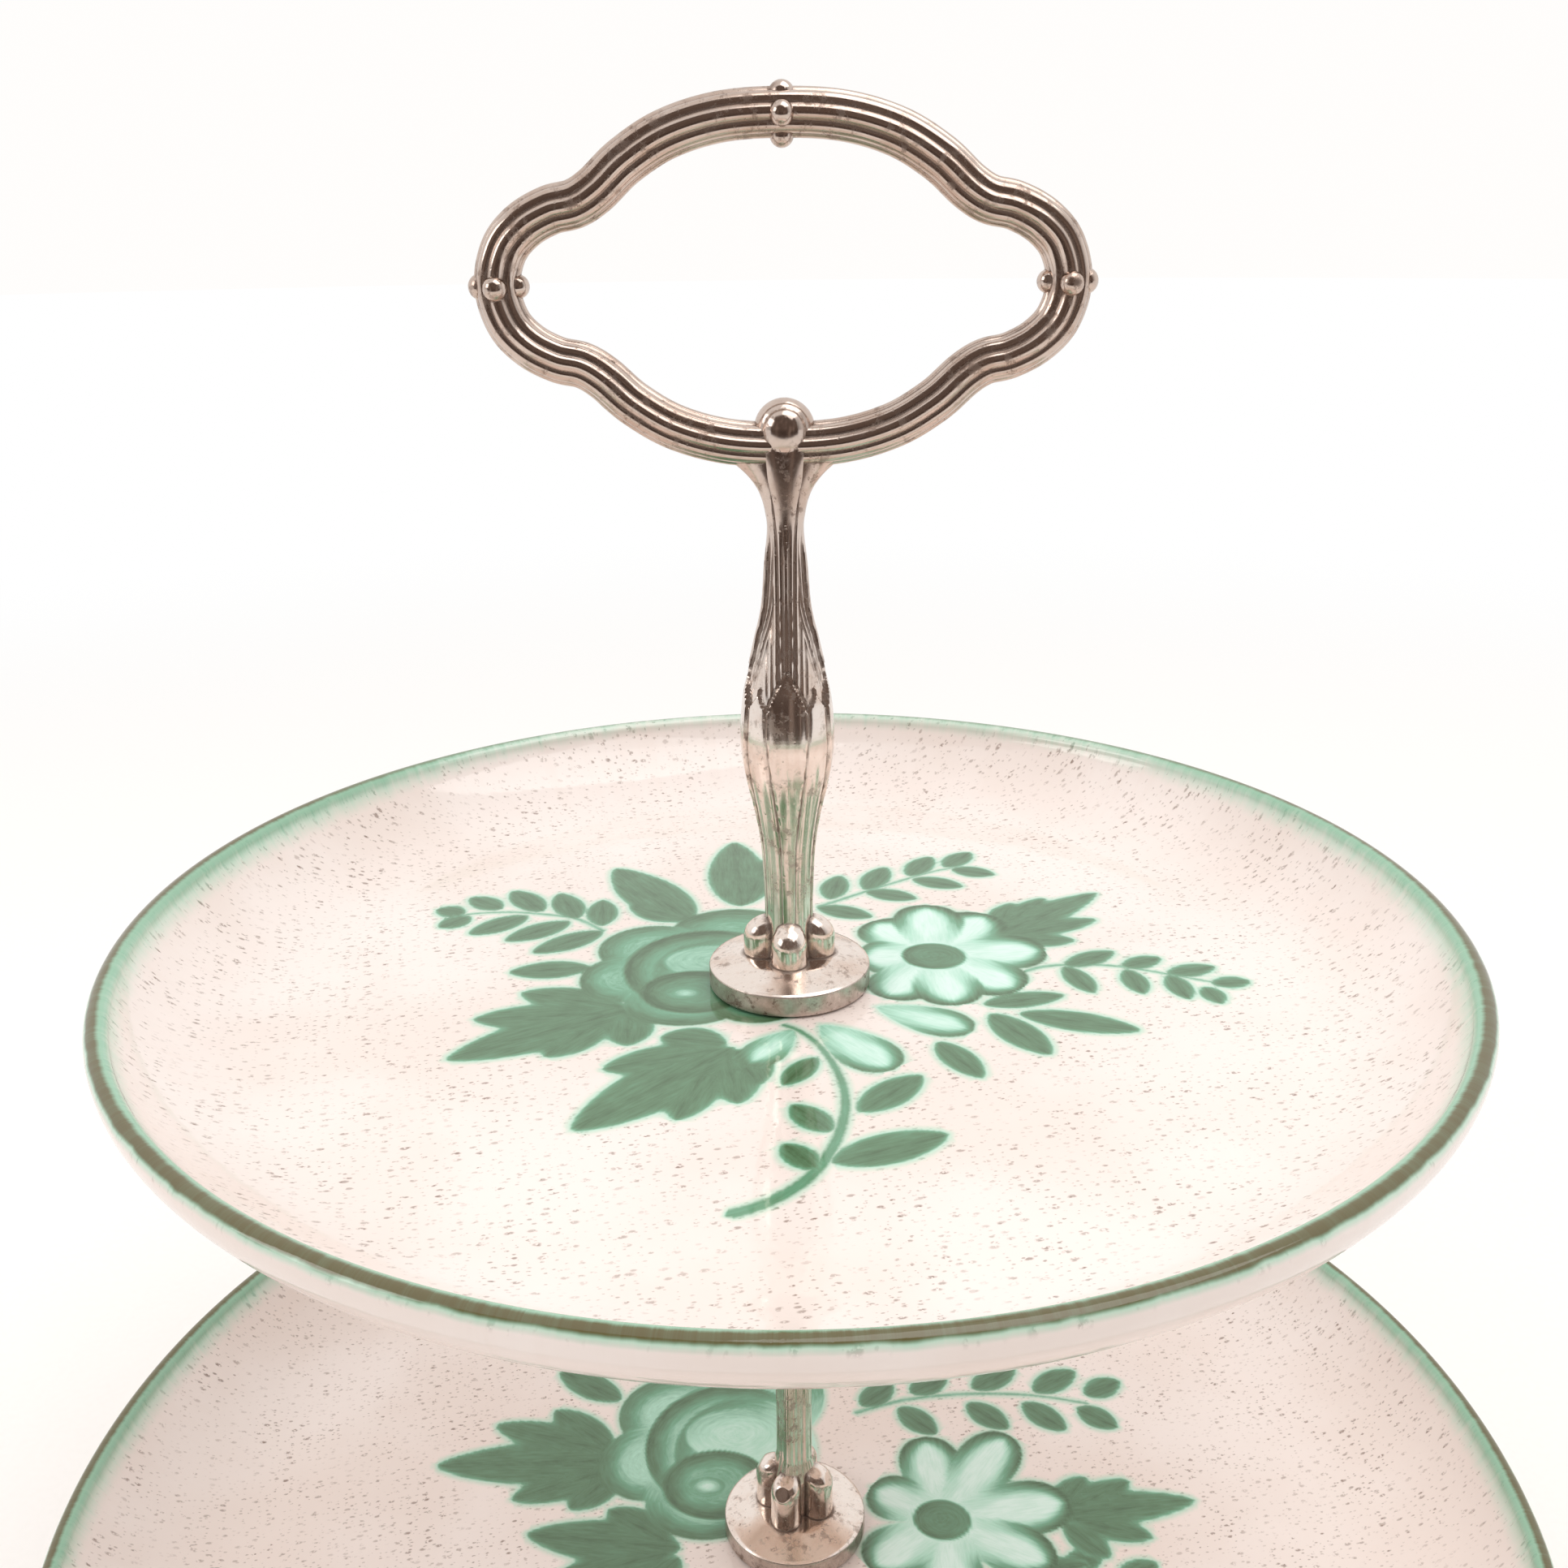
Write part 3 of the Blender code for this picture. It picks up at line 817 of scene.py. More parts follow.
class Brushwork:
    """The painted spray on a plate, kept as numbers at the points of its well.

    gap is the distance outside the nearest stroke in millimetres, below zero inside one.
    dark runs from 0, the palest mint, to 1, the darkest green. along and across follow
    the brush in millimetres, so that the glaze can streak the paint the way it was drawn.
    line is the distance from the nearest stalk's middle, signed so that it stays even where
    the stalk is thinner than the mesh, and half is half that stalk's width. SOFT is half the
    width of a stroke's soft edge, LEAF is how dark a leaf is and PALER how much less its edge.
    """

    SOFT = 0.35
    LEAF = 0.86
    PALER = 0.26

    def __init__(self, x: Array, y: Array) -> None:
        """Starts with bare glaze at the given points, in millimetres."""
        self.x, self.y = x, y
        self.gap = np.full(x.shape, 6.0)
        self.dark, self.along, self.across = (np.zeros(x.shape) for _ in range(3))
        self.line = np.full(x.shape, 9.0)
        self.half = np.full(x.shape, -9.0)

    def _near(self, centre: Point, reach: float) -> Array:
        """The points within reach of a centre."""
        return np.flatnonzero(np.hypot(self.x - centre[0], self.y - centre[1]) < reach)

    def _around(self, base: Point, tip: Point, margin: float) -> Array:
        """The points within a margin of the round about a stroke's two ends."""
        middle = ((base[0] + tip[0]) / 2, (base[1] + tip[1]) / 2)
        return self._near(middle, math.dist(base, tip) / 2 + margin)

    def _lay(self, near: Array, gap: Array, dark: Array, along: Array, across: Array) -> None:
        """Lays one stroke over what is there.

        Args:
            near: The points that it may touch.
            gap: The distance outside the stroke.
            dark: Its darkness.
            along: The distance along the brush.
            across: The distance across the brush.
        """
        cover = smooth(-gap, -self.SOFT, self.SOFT)
        self.gap[near] = np.minimum(self.gap[near], gap)
        self.dark[near] += cover * (dark - self.dark[near])
        touched = gap < 2 * self.SOFT
        self.along[near[touched]] = along[touched]
        self.across[near[touched]] = across[touched]

    def _blade(
        self, near: Array, base: Point, tip: Point, width: float, full: float, high: float
    ) -> tuple[Array, Array, Array, Array]:
        """Measures a leaf-shaped outline.

        Args:
            near: The points to measure at.
            base: Its stalk end.
            tip: Its far end.
            width: Its width.
            full: How round its sides are: the lower, the fuller.
            high: Where it is widest: above 1, nearer its tip.

        Returns:
            The distance outside it, its length share, and the distances along and across.
        """
        length = math.dist(base, tip)
        ax, ay = (tip[0] - base[0]) / length, (tip[1] - base[1]) / length
        dx, dy = self.x[near] - base[0], self.y[near] - base[1]
        u = dx * ax + dy * ay
        grid = np.linspace(1e-4, 1 - 1e-4, 65)
        share = np.clip(u / length, grid[0], grid[-1])
        v = dy * ax - dx * ay
        half = 0.5 * width * np.sin(math.pi * grid**high) ** full
        lean = np.clip(np.gradient(half, length / 64), -3, 3)
        slant = np.hypot(1, np.interp(share, grid, lean))
        inside = (np.abs(v) - np.interp(share, grid, half)) / slant
        beyond = np.maximum(np.maximum(u - length, -u), 0.0)
        return np.where(beyond > 0, np.hypot(beyond, np.abs(v)), inside), share, u, v

    def leaf(self, base: Point, tip: Point, width: float) -> None:
        """A leaf in one stroke, a little paler at its edge and darker down its middle."""
        near = self._around(base, tip, width + 4)
        gap, share, u, v = self._blade(near, base, tip, width, 0.6, 0.95)
        tone = self.LEAF - self.PALER * (1 - smooth(-gap, 0.0, 1.0))
        tone += 0.08 * np.exp(-((v / 0.4) ** 2)) * smooth(share, 0.02, 0.3)
        self._lay(near, gap, tone, u, v)

    def lobed_leaf(
        self, base: Point, tip: Point, width: float, lobe: float, *lobes: tuple[Point, Point]
    ) -> None:
        """A large cut leaf in one wash, with a darker line down each lobe.

        Args:
            base: Its stalk end.
            tip: Its far end.
            width: The width of its main blade.
            lobe: The width of a side lobe.
            *lobes: The base and tip of each side lobe.
        """
        near = self._around(base, tip, 2 * width)
        gap, _, u, v = self._blade(near, base, tip, width, 0.62, 0.85)
        vein = np.exp(-((v / 0.45) ** 2))
        joined = gap
        for start, end in lobes:
            other, _, along, across = self._blade(near, start, end, lobe, 0.6, 1.0)
            nearer = other < gap
            u, v = np.where(nearer, along, u), np.where(nearer, across, v)
            line = np.exp(-((across / 0.4) ** 2)) * (other < -0.2)
            vein = np.maximum(vein, 0.8 * line)
            gap = np.minimum(gap, other)
            blend = np.maximum(1.2 - np.abs(joined - other), 0) / 1.2
            joined = np.minimum(joined, other) - 0.3 * blend**2
        tone = self.LEAF - self.PALER * (1 - smooth(-joined, 0.0, 1.2)) + 0.07 * vein
        self._lay(near, joined, tone, u, v)

    def petal(
        self,
        base: Point,
        tip: Point,
        width: float,
        pale: float = 0.12,
        dark: float = 0.88,
        rim: float = 3.4,
    ) -> None:
        """A petal: pale inside, and dark along its far edge.

        Args:
            base: Its inner end.
            tip: Its far end.
            width: Its width.
            pale: How dark its inside is.
            dark: How dark its edge is.
            rim: The width of the dark edge.
        """
        near = self._around(base, tip, width + 4)
        gap, share, u, v = self._blade(near, base, tip, width, 0.42, 1.6)
        band = (1 - smooth(-gap, 0.1 * rim, rim)) * (0.3 + 0.7 * smooth(share, 0.25, 0.85))
        self._lay(near, gap, pale + (dark - pale) * band, u, v)

    def dab(
        self,
        centre: Point,
        radii: Point,
        pale: float,
        dark: float,
        rim: float,
        side: float | None,
        turn: float = 0.0,
    ) -> None:
        """An oval dab, pale inside and dark along its edge.

        Args:
            centre: Its centre.
            radii: Its two radii.
            pale: How dark its inside is.
            dark: How dark its edge is.
            rim: The width of the dark edge.
            side: The direction in degrees that the dark edge faces, or None for all round.
            turn: How far the oval is turned, in degrees.
        """
        near = self._near(centre, max(radii) + 4)
        c, s = math.cos(math.radians(turn)), math.sin(math.radians(turn))
        dx, dy = self.x[near] - centre[0], self.y[near] - centre[1]
        u, v = dx * c + dy * s, dy * c - dx * s
        reach = np.hypot(u / radii[0], v / radii[1])
        gap = (reach - 1) * min(radii)
        band = 1 - smooth(-gap, 0.1 * rim, rim)
        if side is not None:
            facing = math.radians(side)
            lean = (dx * math.cos(facing) + dy * math.sin(facing)) / max(radii)
            band *= smooth(lean, -0.55, 0.65)
        angle = np.arctan2(v, u)
        self._lay(near, gap, pale + (dark - pale) * band, angle * min(radii), gap)

    def wash(self, centre: Point, reach: float, dark: float, strength: float) -> None:
        """Softens the paint towards one darkness round a point."""
        away = np.hypot(self.x - centre[0], self.y - centre[1]) / reach
        self.dark += strength * np.exp(-(away**2)) * (dark - self.dark)

    def stalk(self, points: tuple[Point, ...], thick: float, thin: float, dark: float) -> None:
        """A stroke along a smooth line, from its thick end to its thin end."""
        line = smooth_line(points, 6)
        run = run_along(line)
        middle = line.mean(axis=0)
        near = self._near(tuple(middle), np.hypot(*(line - middle).T).max() + thick + 4)
        x, y = self.x[near], self.y[near]
        best = np.full(x.shape, 99.0)
        u, v, half = (np.zeros(x.shape) for _ in range(3))
        for a, b, start in zip(line[:-1], line[1:], run[:-1]):
            step = np.hypot(*(b - a))
            tx, ty = (b - a) / step
            dx, dy = x - a[0], y - a[1]
            t = dx * tx + dy * ty
            held = np.clip(t, 0, step)
            distance = np.hypot(dx - held * tx, dy - held * ty)
            past = np.maximum(-(t + start), t + start - run[-1]).clip(0)
            width = thick + (thin - thick) * (start + held) / run[-1]
            nearer = distance < best
            best = np.where(nearer, distance, best)
            u, v = np.where(nearer, start + held, u), np.where(nearer, dy * tx - dx * ty, v)
            half = np.where(nearer, 0.5 * width - 1.5 * past, half)
        kept = best - half < np.abs(self.line[near]) - self.half[near]
        self.line[near[kept]] = v[kept]
        self.half[near[kept]] = half[kept]
        touched = best - half < 0.9
        for store_in, new in ((self.dark, dark + 0 * u), (self.along, u), (self.across, v)):
            store_in[near[touched]] = new[touched]

    def sprig(self, width: float, stalk: tuple[Point, ...], *leaves: tuple[Point, Point]) -> None:
        """A thin stalk with small leaves, each given by its base and its tip."""
        self.stalk(stalk, 0.95, 0.6, 0.5)
        for base, tip in leaves:
            self.leaf(base, tip, width * (0.7 + 0.3 * math.dist(base, tip) / 12))

    def rose(self, centre: Point, scale: float, light: float) -> None:
        """The rose: outer petals in overlapping dabs, and a wrapped bud.

        Args:
            centre: The bud's centre.
            scale: Its size, where the upper plate's rose is 1.
            light: How much paler it is than the upper plate's rose.
        """
        for dx, dy, wide, tall, pale, dark, rim, side in (
            (4.5, 11.5, 11.5, 11.5, 0.54, 0.90, 6.5, 95),
            (-8.5, 7.5, 9.2, 9.0, 0.48, 0.86, 5.5, 150),
            (-12.3, -3.0, 7.2, 8.0, 0.5, 0.88, 4.5, 200),
            (-2.5, -11.0, 9.5, 7.6, 0.48, 0.90, 5.0, 265),
            (8.5, -11.5, 7.0, 6.5, 0.55, 0.95, 4.5, 280),
            (0.5, 0.5, 13.2, 13.8, 0.58, 0.98, 4.6, 140),
            (3.2, -0.6, 11.2, 11.8, 0.36, 0.74, 6.5, 155),
            (1.5, 3.0, 8.0, 5.6, 0.40, 0.42, 4.0, 100),
            (-1.2, -7.6, 8.2, 7.0, 0.70, 0.98, 3.8, None),
            (-2.6, -8.0, 2.8, 1.9, 0.30, 0.62, 1.8, None),
        ):
            self.dab(
                (centre[0] + scale * dx, centre[1] + scale * dy),
                (scale * wide, scale * tall),
                pale - 1.3 * light,
                dark - 0.3 * light,
                scale * rim,
                side,
            )

    def daisy(self, centre: Point, *petals: tuple[Point, float]) -> None:
        """The daisy: broad pale petals with dark edges round a dark eye.

        Args:
            centre: Its centre.
            *petals: The tip and the width of each petal, in the order that they are painted.
        """
        for tip, width in petals:
            base = tuple(c + 0.05 * (t - c) for c, t in zip(centre, tip))
            self.petal(base, tip, width, pale=0.03, dark=1.0, rim=4.4)
        self.wash(centre, 8.5, 0.04, 0.9)
        self.dab(centre, (5.1, 4.6), 0.8, 0.95, 2.0, 200, -10)


@dataclass(frozen=True)
class Layout:
    """Where a spray's strokes lie, in millimetres, each list in the order it is painted.

    Attributes:
        sprigs: For each, the width of its leaves, its stalk, and each leaf's base and tip.
        stalk: The rose's stalk, its width at both ends and its darkness.
        leaves: For each, its base, tip and width.
        cut_leaves: For each, its base, tip, width and lobes' width, and each lobe's ends.
        rose: Its centre, its size and how much paler it is.
        daisy: Its centre, and each petal's tip and width.
        petals: The base, tip and width of each petal that lies over the rest.
    """

    sprigs: tuple[tuple[Any, ...], ...]
    stalk: tuple[tuple[Point, ...], float, float, float]
    leaves: tuple[tuple[Point, Point, float], ...]
    cut_leaves: tuple[tuple[Any, ...], ...]
    rose: tuple[Point, float, float]
    daisy: tuple[Any, ...]
    petals: tuple[tuple[Point, Point, float], ...]


class Spray(Enum):
    """The two painted sprays, one for each plate. The lower one is laid out a little wider."""

    UPPER = Layout(
        sprigs=(
            (
                5.9, ((-31, 19), (-36, 24), (-42, 26), (-48, 27), (-54, 26.5), (-58, 25)),
                ((-31.5, 21), (-32.5, 32)), ((-36, 24), (-40.5, 35)), ((-42.3, 27), (-49, 36.3)),
                ((-49.5, 28.3), (-56, 33.5)), ((-55.5, 26.5), (-61, 28.6)),
                ((-31, 19), (-41.8, 10.8)), ((-37, 23), (-47, 15.4)), ((-44.5, 25.5), (-53.5, 18)),
                ((-54.3, 25.5), (-59, 20.7)),
            ),
            (
                5.6, ((5, 28), (13, 34), (20, 39), (26, 43), (30, 44.8)),
                ((7, 31), (9.3, 41.8)), ((13.5, 35), (17.8, 45.5)), ((21.5, 41), (26.5, 50.3)),
                ((28.3, 45), (34, 52.2)), ((4.8, 28), (14.3, 23.5)), ((13.5, 34.5), (22.4, 31)),
                ((22, 39.8), (31, 36)), ((29.5, 44.2), (37.3, 41.3)),
            ),
            (
                5.0, ((36, 2), (40, 4.3), (46, 5), (52, 4.2), (57, 2.3), (62, 0), (66.5, -2)),
                ((43.5, 4.5), (52.5, 9.7)), ((52.5, 4), (59.5, 7.3)), ((59, 1.5), (67.3, 3.8)),
                ((65, -2), (71.5, -1.3)), ((43.5, 4.5), (46.5, -5)), ((53, 3.2), (54, -5.5)),
                ((59.3, 1.2), (60.5, -7.3)), ((63.8, -2.8), (65, -8.8)),
            ),
        ),
        stalk=(
            (
                (-7.5, -60.8), (-3, -58.5), (2, -53.5), (5.5, -46), (7.3, -37), (6.8, -29),
                (4.5, -21), (1.5, -16), (-1, -14),
            ),
            2.0, 0.9, 0.66,
        ),
        leaves=(
            ((3.8, -23.5), (-1.2, -31.3), 4.4), ((5.2, -43), (0, -36), 5.2),
            ((3.2, -51.5), (-1.2, -45.5), 4.8), ((9, -38.2), (18.3, -28.6), 6.2),
            ((5, -50), (20.5, -43.6), 7.2), ((29, -8.2), (42, -5.3), 5.2),
            ((34, -11), (51.3, -16.7), 6.4), ((29.8, -11), (37, -23.6), 6.6),
            ((21.2, -19.3), (26.6, -29.8), 5.4), ((-31.5, 5.5), (-44.5, 4), 6.4),
        ),
        cut_leaves=(
            (
                (-16.8, 23), (-31.8, 46), 11, 7,
                ((-17, 24), (-30.5, 38.3)), ((-17, 23), (-27.5, 29.3)),
            ),
            ((-8.3, 28.5), (-10.3, 58.3), 11, 8, ((-7.5, 30), (-3.6, 49.5))),
            (
                (33, 15.5), (54, 33), 7.4, 5.6, ((34, 18), (38.5, 29)), ((35, 19), (44.5, 31)),
                ((36, 16), (52, 22)), ((35, 14.5), (47, 13.8)),
            ),
            (
                (-23, -8), (-49, -23.5), 10.5, 8, ((-25, -8), (-41.5, -3)),
                ((-28, -10), (-47.3, -11.5)), ((-27, -11), (-35, -23)), ((-24, -9), (-23.5, -20)),
            ),
            (
                (-8, -20.5), (-28.8, -42.2), 11.5, 8, ((-9, -19.5), (-19, -17.3)),
                ((-10, -21), (-26.5, -26.5)), ((-11, -24), (-15.3, -40)), ((-9, -22), (-7, -36)),
                ((-8, -21), (-4.3, -31)),
            ),
        ),
        rose=((-13.5, 4.5), 1.0, 0.0),
        daisy=(
            (23.2, 8.5), ((14, 22), 12), ((11, 8), 12), ((33.5, 24.5), 12), ((23.5, 28.5), 12),
            ((14.5, -6), 11), ((41.5, 10.5), 12.5), ((35.5, -3.5), 12), ((25, -8.5), 11),
        ),
        petals=(
            ((13, -8.5), (26.8, -16.2), 8.6), ((4.5, -14), (14.5, -27.2), 9.4),
            ((0.5, -15.5), (-6, -25.5), 6.8),
        ),
    )
    LOWER = Layout(
        sprigs=(
            (
                6.4, ((12, 28), (22, 31.5), (34, 33), (47, 32.5), (58, 30)),
                ((13, 30), (20, 36)), ((23, 33.5), (31, 38)), ((35.5, 34.5), (45, 40.5)),
                ((47.5, 33.5), (57, 39.5)), ((57.5, 32.5), (65.5, 36.5)),
                ((20.5, 29.5), (27.5, 22)), ((34, 30.5), (41.5, 23.3)), ((45, 30.5), (52.5, 22.7)),
                ((55.5, 29), (62.5, 23.3)),
            ),
            (
                6.0, ((40, -9), (47, -11), (55, -13), (63, -16), (70, -20)),
                ((46, -11), (54, -6)), ((55, -13), (63, -9)), ((63, -16), (71, -13.5)),
                ((47, -12), (50, -21)), ((57, -14), (60, -23)), ((66, -18), (69, -26)),
            ),
            (
                6.0, ((-34, -22), (-42, -24), (-50, -24), (-58, -22), (-64, -19)),
                ((-38, -23), (-44, -15)), ((-46, -24), (-53, -16)), ((-55, -23), (-62, -15)),
                ((-40, -24), (-48, -33)), ((-49, -25), (-57, -32)), ((-58, -22), (-66, -27)),
            ),
        ),
        stalk=(
            (
                (-9, -76), (-3, -73), (3, -67), (7, -58), (9, -47), (8.5, -37), (5.5, -27),
                (2, -20),
            ),
            2.4, 1.0, 0.66,
        ),
        leaves=(
            ((4.5, -29), (-2, -39), 5.4), ((7, -53), (0, -45), 6.2), ((4, -64), (-2, -56), 5.8),
            ((11, -48), (23, -36), 7.6), ((6, -62), (26, -54), 8.6), ((35, -12), (51, -9), 6.2),
            ((38, -18), (57, -27), 7.4), ((33, -18), (41, -33), 7.4), ((24, -26), (30, -40), 6.6),
            ((-34, 32), (-47.5, 40.5), 7.0), ((-13, 37), (-15, 60), 12.0),
        ),
        cut_leaves=(
            (
                (-32, 16), (-67.5, 15), 11, 8, ((-34, 18), (-58, 25.5)), ((-34, 18), (-47, 29.5)),
                ((-33, 14), (-52, 6.5)), ((-32, 14), (-41, 4)),
            ),
            (
                (-20, -5), (-48, -1.5), 10, 8, ((-22, -4), (-34, 4)), ((-22, -6), (-42, -12)),
                ((-20, -7), (-29, -17)),
            ),
            (
                (46, 2), (73, 5), 8, 6.2, ((47, 3), (54, 11)), ((49, 3), (62, 10)),
                ((50, 1), (63.5, -3.5)), ((48, 0), (55, -8)),
            ),
            (
                (-9, -26), (-34, -52), 13, 9, ((-11, -25), (-23, -22)), ((-12, -27), (-32, -33)),
                ((-13, -30), (-18, -49)), ((-10, -28), (-8, -45)),
            ),
        ),
        rose=((-13, 19), 1.2, 0.16),
        daisy=(
            (26.5, 1), ((25, 21.5), 12), ((41, 22), 12), ((14, 9), 11), ((50, 5), 13),
            ((45, -9.5), 12), ((27, -17), 12), ((13, -10), 12),
        ),
        petals=(
            ((15, -11), (31, -22), 9.6), ((5, -17), (18, -33), 10.6), ((0, -19), (-8, -31), 7.6),
        ),
    )

    def draw(self, brush: Brushwork) -> None:
        """Paints the spray."""
        plan = self.value
        for paint_one, strokes in (
            (brush.sprig, plan.sprigs),
            (brush.stalk, (plan.stalk,)),
            (brush.leaf, plan.leaves),
            (brush.lobed_leaf, plan.cut_leaves),
            (brush.rose, (plan.rose,)),
            (brush.daisy, (plan.daisy,)),
            (brush.petal, plan.petals),
        ):
            for stroke in strokes:
                paint_one(*stroke)


# Pieces


def hand_over(
    obj: bpy.types.Object, body: str, slot: str, material: bpy.types.Material, *nodes: str
) -> None:
    """Dresses a finished piece and gives it to the frame.

    Args:
        obj: The piece.
        body: The body that it moves with.
        slot: The record's material slot, which is not used.
        material: Its finish.
        *nodes: The frame's nodes that it stands for. A node itself stands for none.
    """
    obj.data.materials.clear()
    obj.data.materials.append(material)
    if nodes:
        pick(obj)
        bpy.ops.object.shade_smooth_by_angle(angle=math.radians(38))
        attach(obj, body)
        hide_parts(*nodes)
    log.info("%s: %d faces, moves with %s", obj.name, len(obj.data.polygons), body)


@dataclass
class Plate:
    """A thrown plate: flat well, rising wall, rolled lip and foot ring."""

    node: str
    body: str
    spray: Spray
    depth: float
    well_radius: float
    floor: float
    foot_radius: float
    foot_width: float
    lip_radius: float = 0.0016
    foot_chamfer: float = 0.0008
    hole_radius: float = 0.004
    well_rings: int = 140
    segments: int = 448

    def section(self) -> tuple[list[Point], int]:
        """The plate's outline, and how many of its points lie on the upper face.

        Returns:
            The outline from the hole over the lip and back underneath, and the number of
            points up to the crest of the lip.
        """
        low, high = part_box(self.node)
        rim, foot = high.x, low.z
        well = high.z - self.depth
        underside = well - self.floor
        lip = (rim - self.lip_radius, high.z - self.lip_radius)
        slope = lip[0] - self.lip_radius - self.well_radius
        drop = lip[1] - underside
        round_off = 0.0005
        hole = self.hole_radius
        outline = arc((hole + round_off, well - round_off), round_off, 180, 90, 4)
        outline += [
            (radius, well)
            for radius in np.linspace(hole + 2 * round_off, self.well_radius, self.well_rings)
        ]
        outline += bezier(
            outline[-1],
            (self.well_radius + 0.45 * slope, well),
            (lip[0] - self.lip_radius - 0.16 * slope, well + 0.42 * (lip[1] - well)),
            (lip[0] - self.lip_radius, lip[1]),
            28,
        )
        outline += arc(lip, self.lip_radius, 168, 90, 7)
        crest = len(outline)
        outline += arc(lip, self.lip_radius, 78, 0, 7)
        outline += bezier(
            outline[-1],
            (rim, lip[1] - 0.42 * drop),
            (rim - 0.32 * (rim - self.foot_radius), underside),
            (self.foot_radius + 0.0006, underside),
            22,
        )
        chamfer = self.foot_chamfer
        inner = self.foot_radius - self.foot_width
        outline += [(self.foot_radius, underside - 0.0006)]
        outline += arc((self.foot_radius - chamfer, foot + chamfer), chamfer, 0, -90, 4)
        outline += arc((inner + chamfer, foot + chamfer), chamfer, -90, -180, 4)
        outline += [(inner, underside - 0.0006), (inner - 0.0006, underside)]
        outline += [(0.5 * inner, underside), (hole, underside)]
        return outline, crest

    def build(self) -> bpy.types.Object:
        """Turns the plate and keeps what its glaze needs on its vertices.

        Returns:
            The plate, with edge, bare and the brushwork as attributes.
        """
        outline, crest = self.section()
        obj = lathe(f"{self.node}_glazed", outline, self.segments)
        points = places(obj)
        radius = np.hypot(points[:, 0], points[:, 1])
        profile = np.array(outline)
        order = np.argsort(profile[:, 0] + 7.3 * profile[:, 1])
        keys = (profile[:, 0] + 7.3 * profile[:, 1])[order]
        found = np.searchsorted(keys, radius + 7.3 * points[:, 2] - MERGE).clip(0, len(keys) - 1)
        index = order[found]
        run = run_along(profile)
        store(obj, "edge", (run - run[crest - 1])[index] / MM)
        foot = profile[:, 1].min()
        low = profile[:, 1] < foot + 1.6 * self.foot_chamfer
        store(obj, "bare", low[index].astype(float))
        x, y = points[:, 0] / MM, points[:, 1] / MM
        upper = index < crest
        x, y = np.where(upper, x, 999.0), np.where(upper, y, 999.0)
        brush = Brushwork(x, y)
        self.spray.draw(brush)
        for name in ("gap", "dark", "along", "across", "line", "half"):
            store(obj, name, getattr(brush, name))
        return obj

    def dress(self, obj: bpy.types.Object, glaze: bpy.types.Material) -> None:
        """Glazes the plate and gives it to the frame."""
        hand_over(obj, self.body, "glaze", glaze, self.node)


@dataclass
class LobedFoot:
    """The disc foot with four upright lobes that the handle and the column share."""

    radius: float
    edge: float = 0.0034
    rise: float = 0.0015
    rim: float = 0.0012
    recess: float = 0.0011
    hub: float = 0.007
    lobe: float = 0.0027
    lobe_height: float = 0.0062
    turn: float = 0.0
    dome: float = 0.0034
    fullness: float = 2.2
    bevel: float = 0.0
    bore: float = 0.0027
    bore_depth: float = 0.0093

    @property
    def top(self) -> float:
        """The height of the lobes' tops over the seat."""
        return self.edge + self.rise + self.lobe_height

    def lobes(self, angle: Array, height: float) -> Array:
        """The radius of the four lobes at a height over the seat.

        Args:
            angle: The angles to read it at.
            height: The height over the seat.

        Returns:
            The radius at each angle, or 0 where no lobe stands.
        """
        offset = (angle - self.turn + math.pi / 4) % (math.pi / 2) - math.pi / 4
        share = np.clip(1 - (self.top - height) / self.dome, 0.0, 1.0)
        radius = self.lobe * math.sqrt(max(1 - share**self.fullness, 0.0))
        reach = self.hub - self.lobe - 0.0010 * share**2
        side = reach * np.sin(offset)
        inside = np.abs(side) < radius
        out = reach * np.cos(offset) + np.sqrt(np.maximum(radius**2 - side**2, 0.0))
        fall = self.hub + 0.0006 - self.bevel * np.clip(height - self.top + 0.0042, 0, 1)
        out = np.minimum(out, fall / np.cos(offset))
        return np.where(inside & (out > 0), out, 0.0)

    def base(self, angle: Array, outline: Array) -> Rings:
        """The foot's rings, from the closed end of its bore out and up to the lobes.

        Args:
            angle: The angles round each ring.
            outline: The radius of what stands on the disc.

        Returns:
            Pairs of radius and height over the seat.
        """
        whole = np.ones_like(angle)
        soft = 0.00035
        inner = self.radius - self.rim
        ceiling = self.recess + self.bore_depth
        corners = [(0.0, ceiling), (self.bore, ceiling)]
        corners += [(self.bore, z) for z in np.linspace(ceiling, self.recess, 5)[1:]]
        corners += [(inner, self.recess), (inner, 0.0002), (inner + 0.0002, 0.0)]
        corners += arc((self.radius - soft, soft), soft, -90, 0, 4)
        corners += [(self.radius, z) for z in np.linspace(soft, self.edge - soft, 8)[1:]]
        corners += arc((self.radius - soft, self.edge - soft), soft, 15, 75, 4)
        rings = [(radius * whole, height * whole) for radius, height in corners]
        start = self.radius - soft
        for share in np.linspace(0.0, 1.0, 16):
            radius = start + (outline - start) * share
            slope = self.rise * (self.radius - radius) / (self.radius - self.hub)
            rings.append((radius, self.edge + np.minimum(slope, self.rise)))
        return rings


def soft_max(first: Array, second: Array, blend: float) -> Array:
    """The larger of two radii, with a small fillet where they cross."""
    near = np.maximum(blend - np.abs(first - second), 0.0) / blend * (np.minimum(first, second) > 0)
    return np.maximum(first, second) + near**2 * blend * 0.25


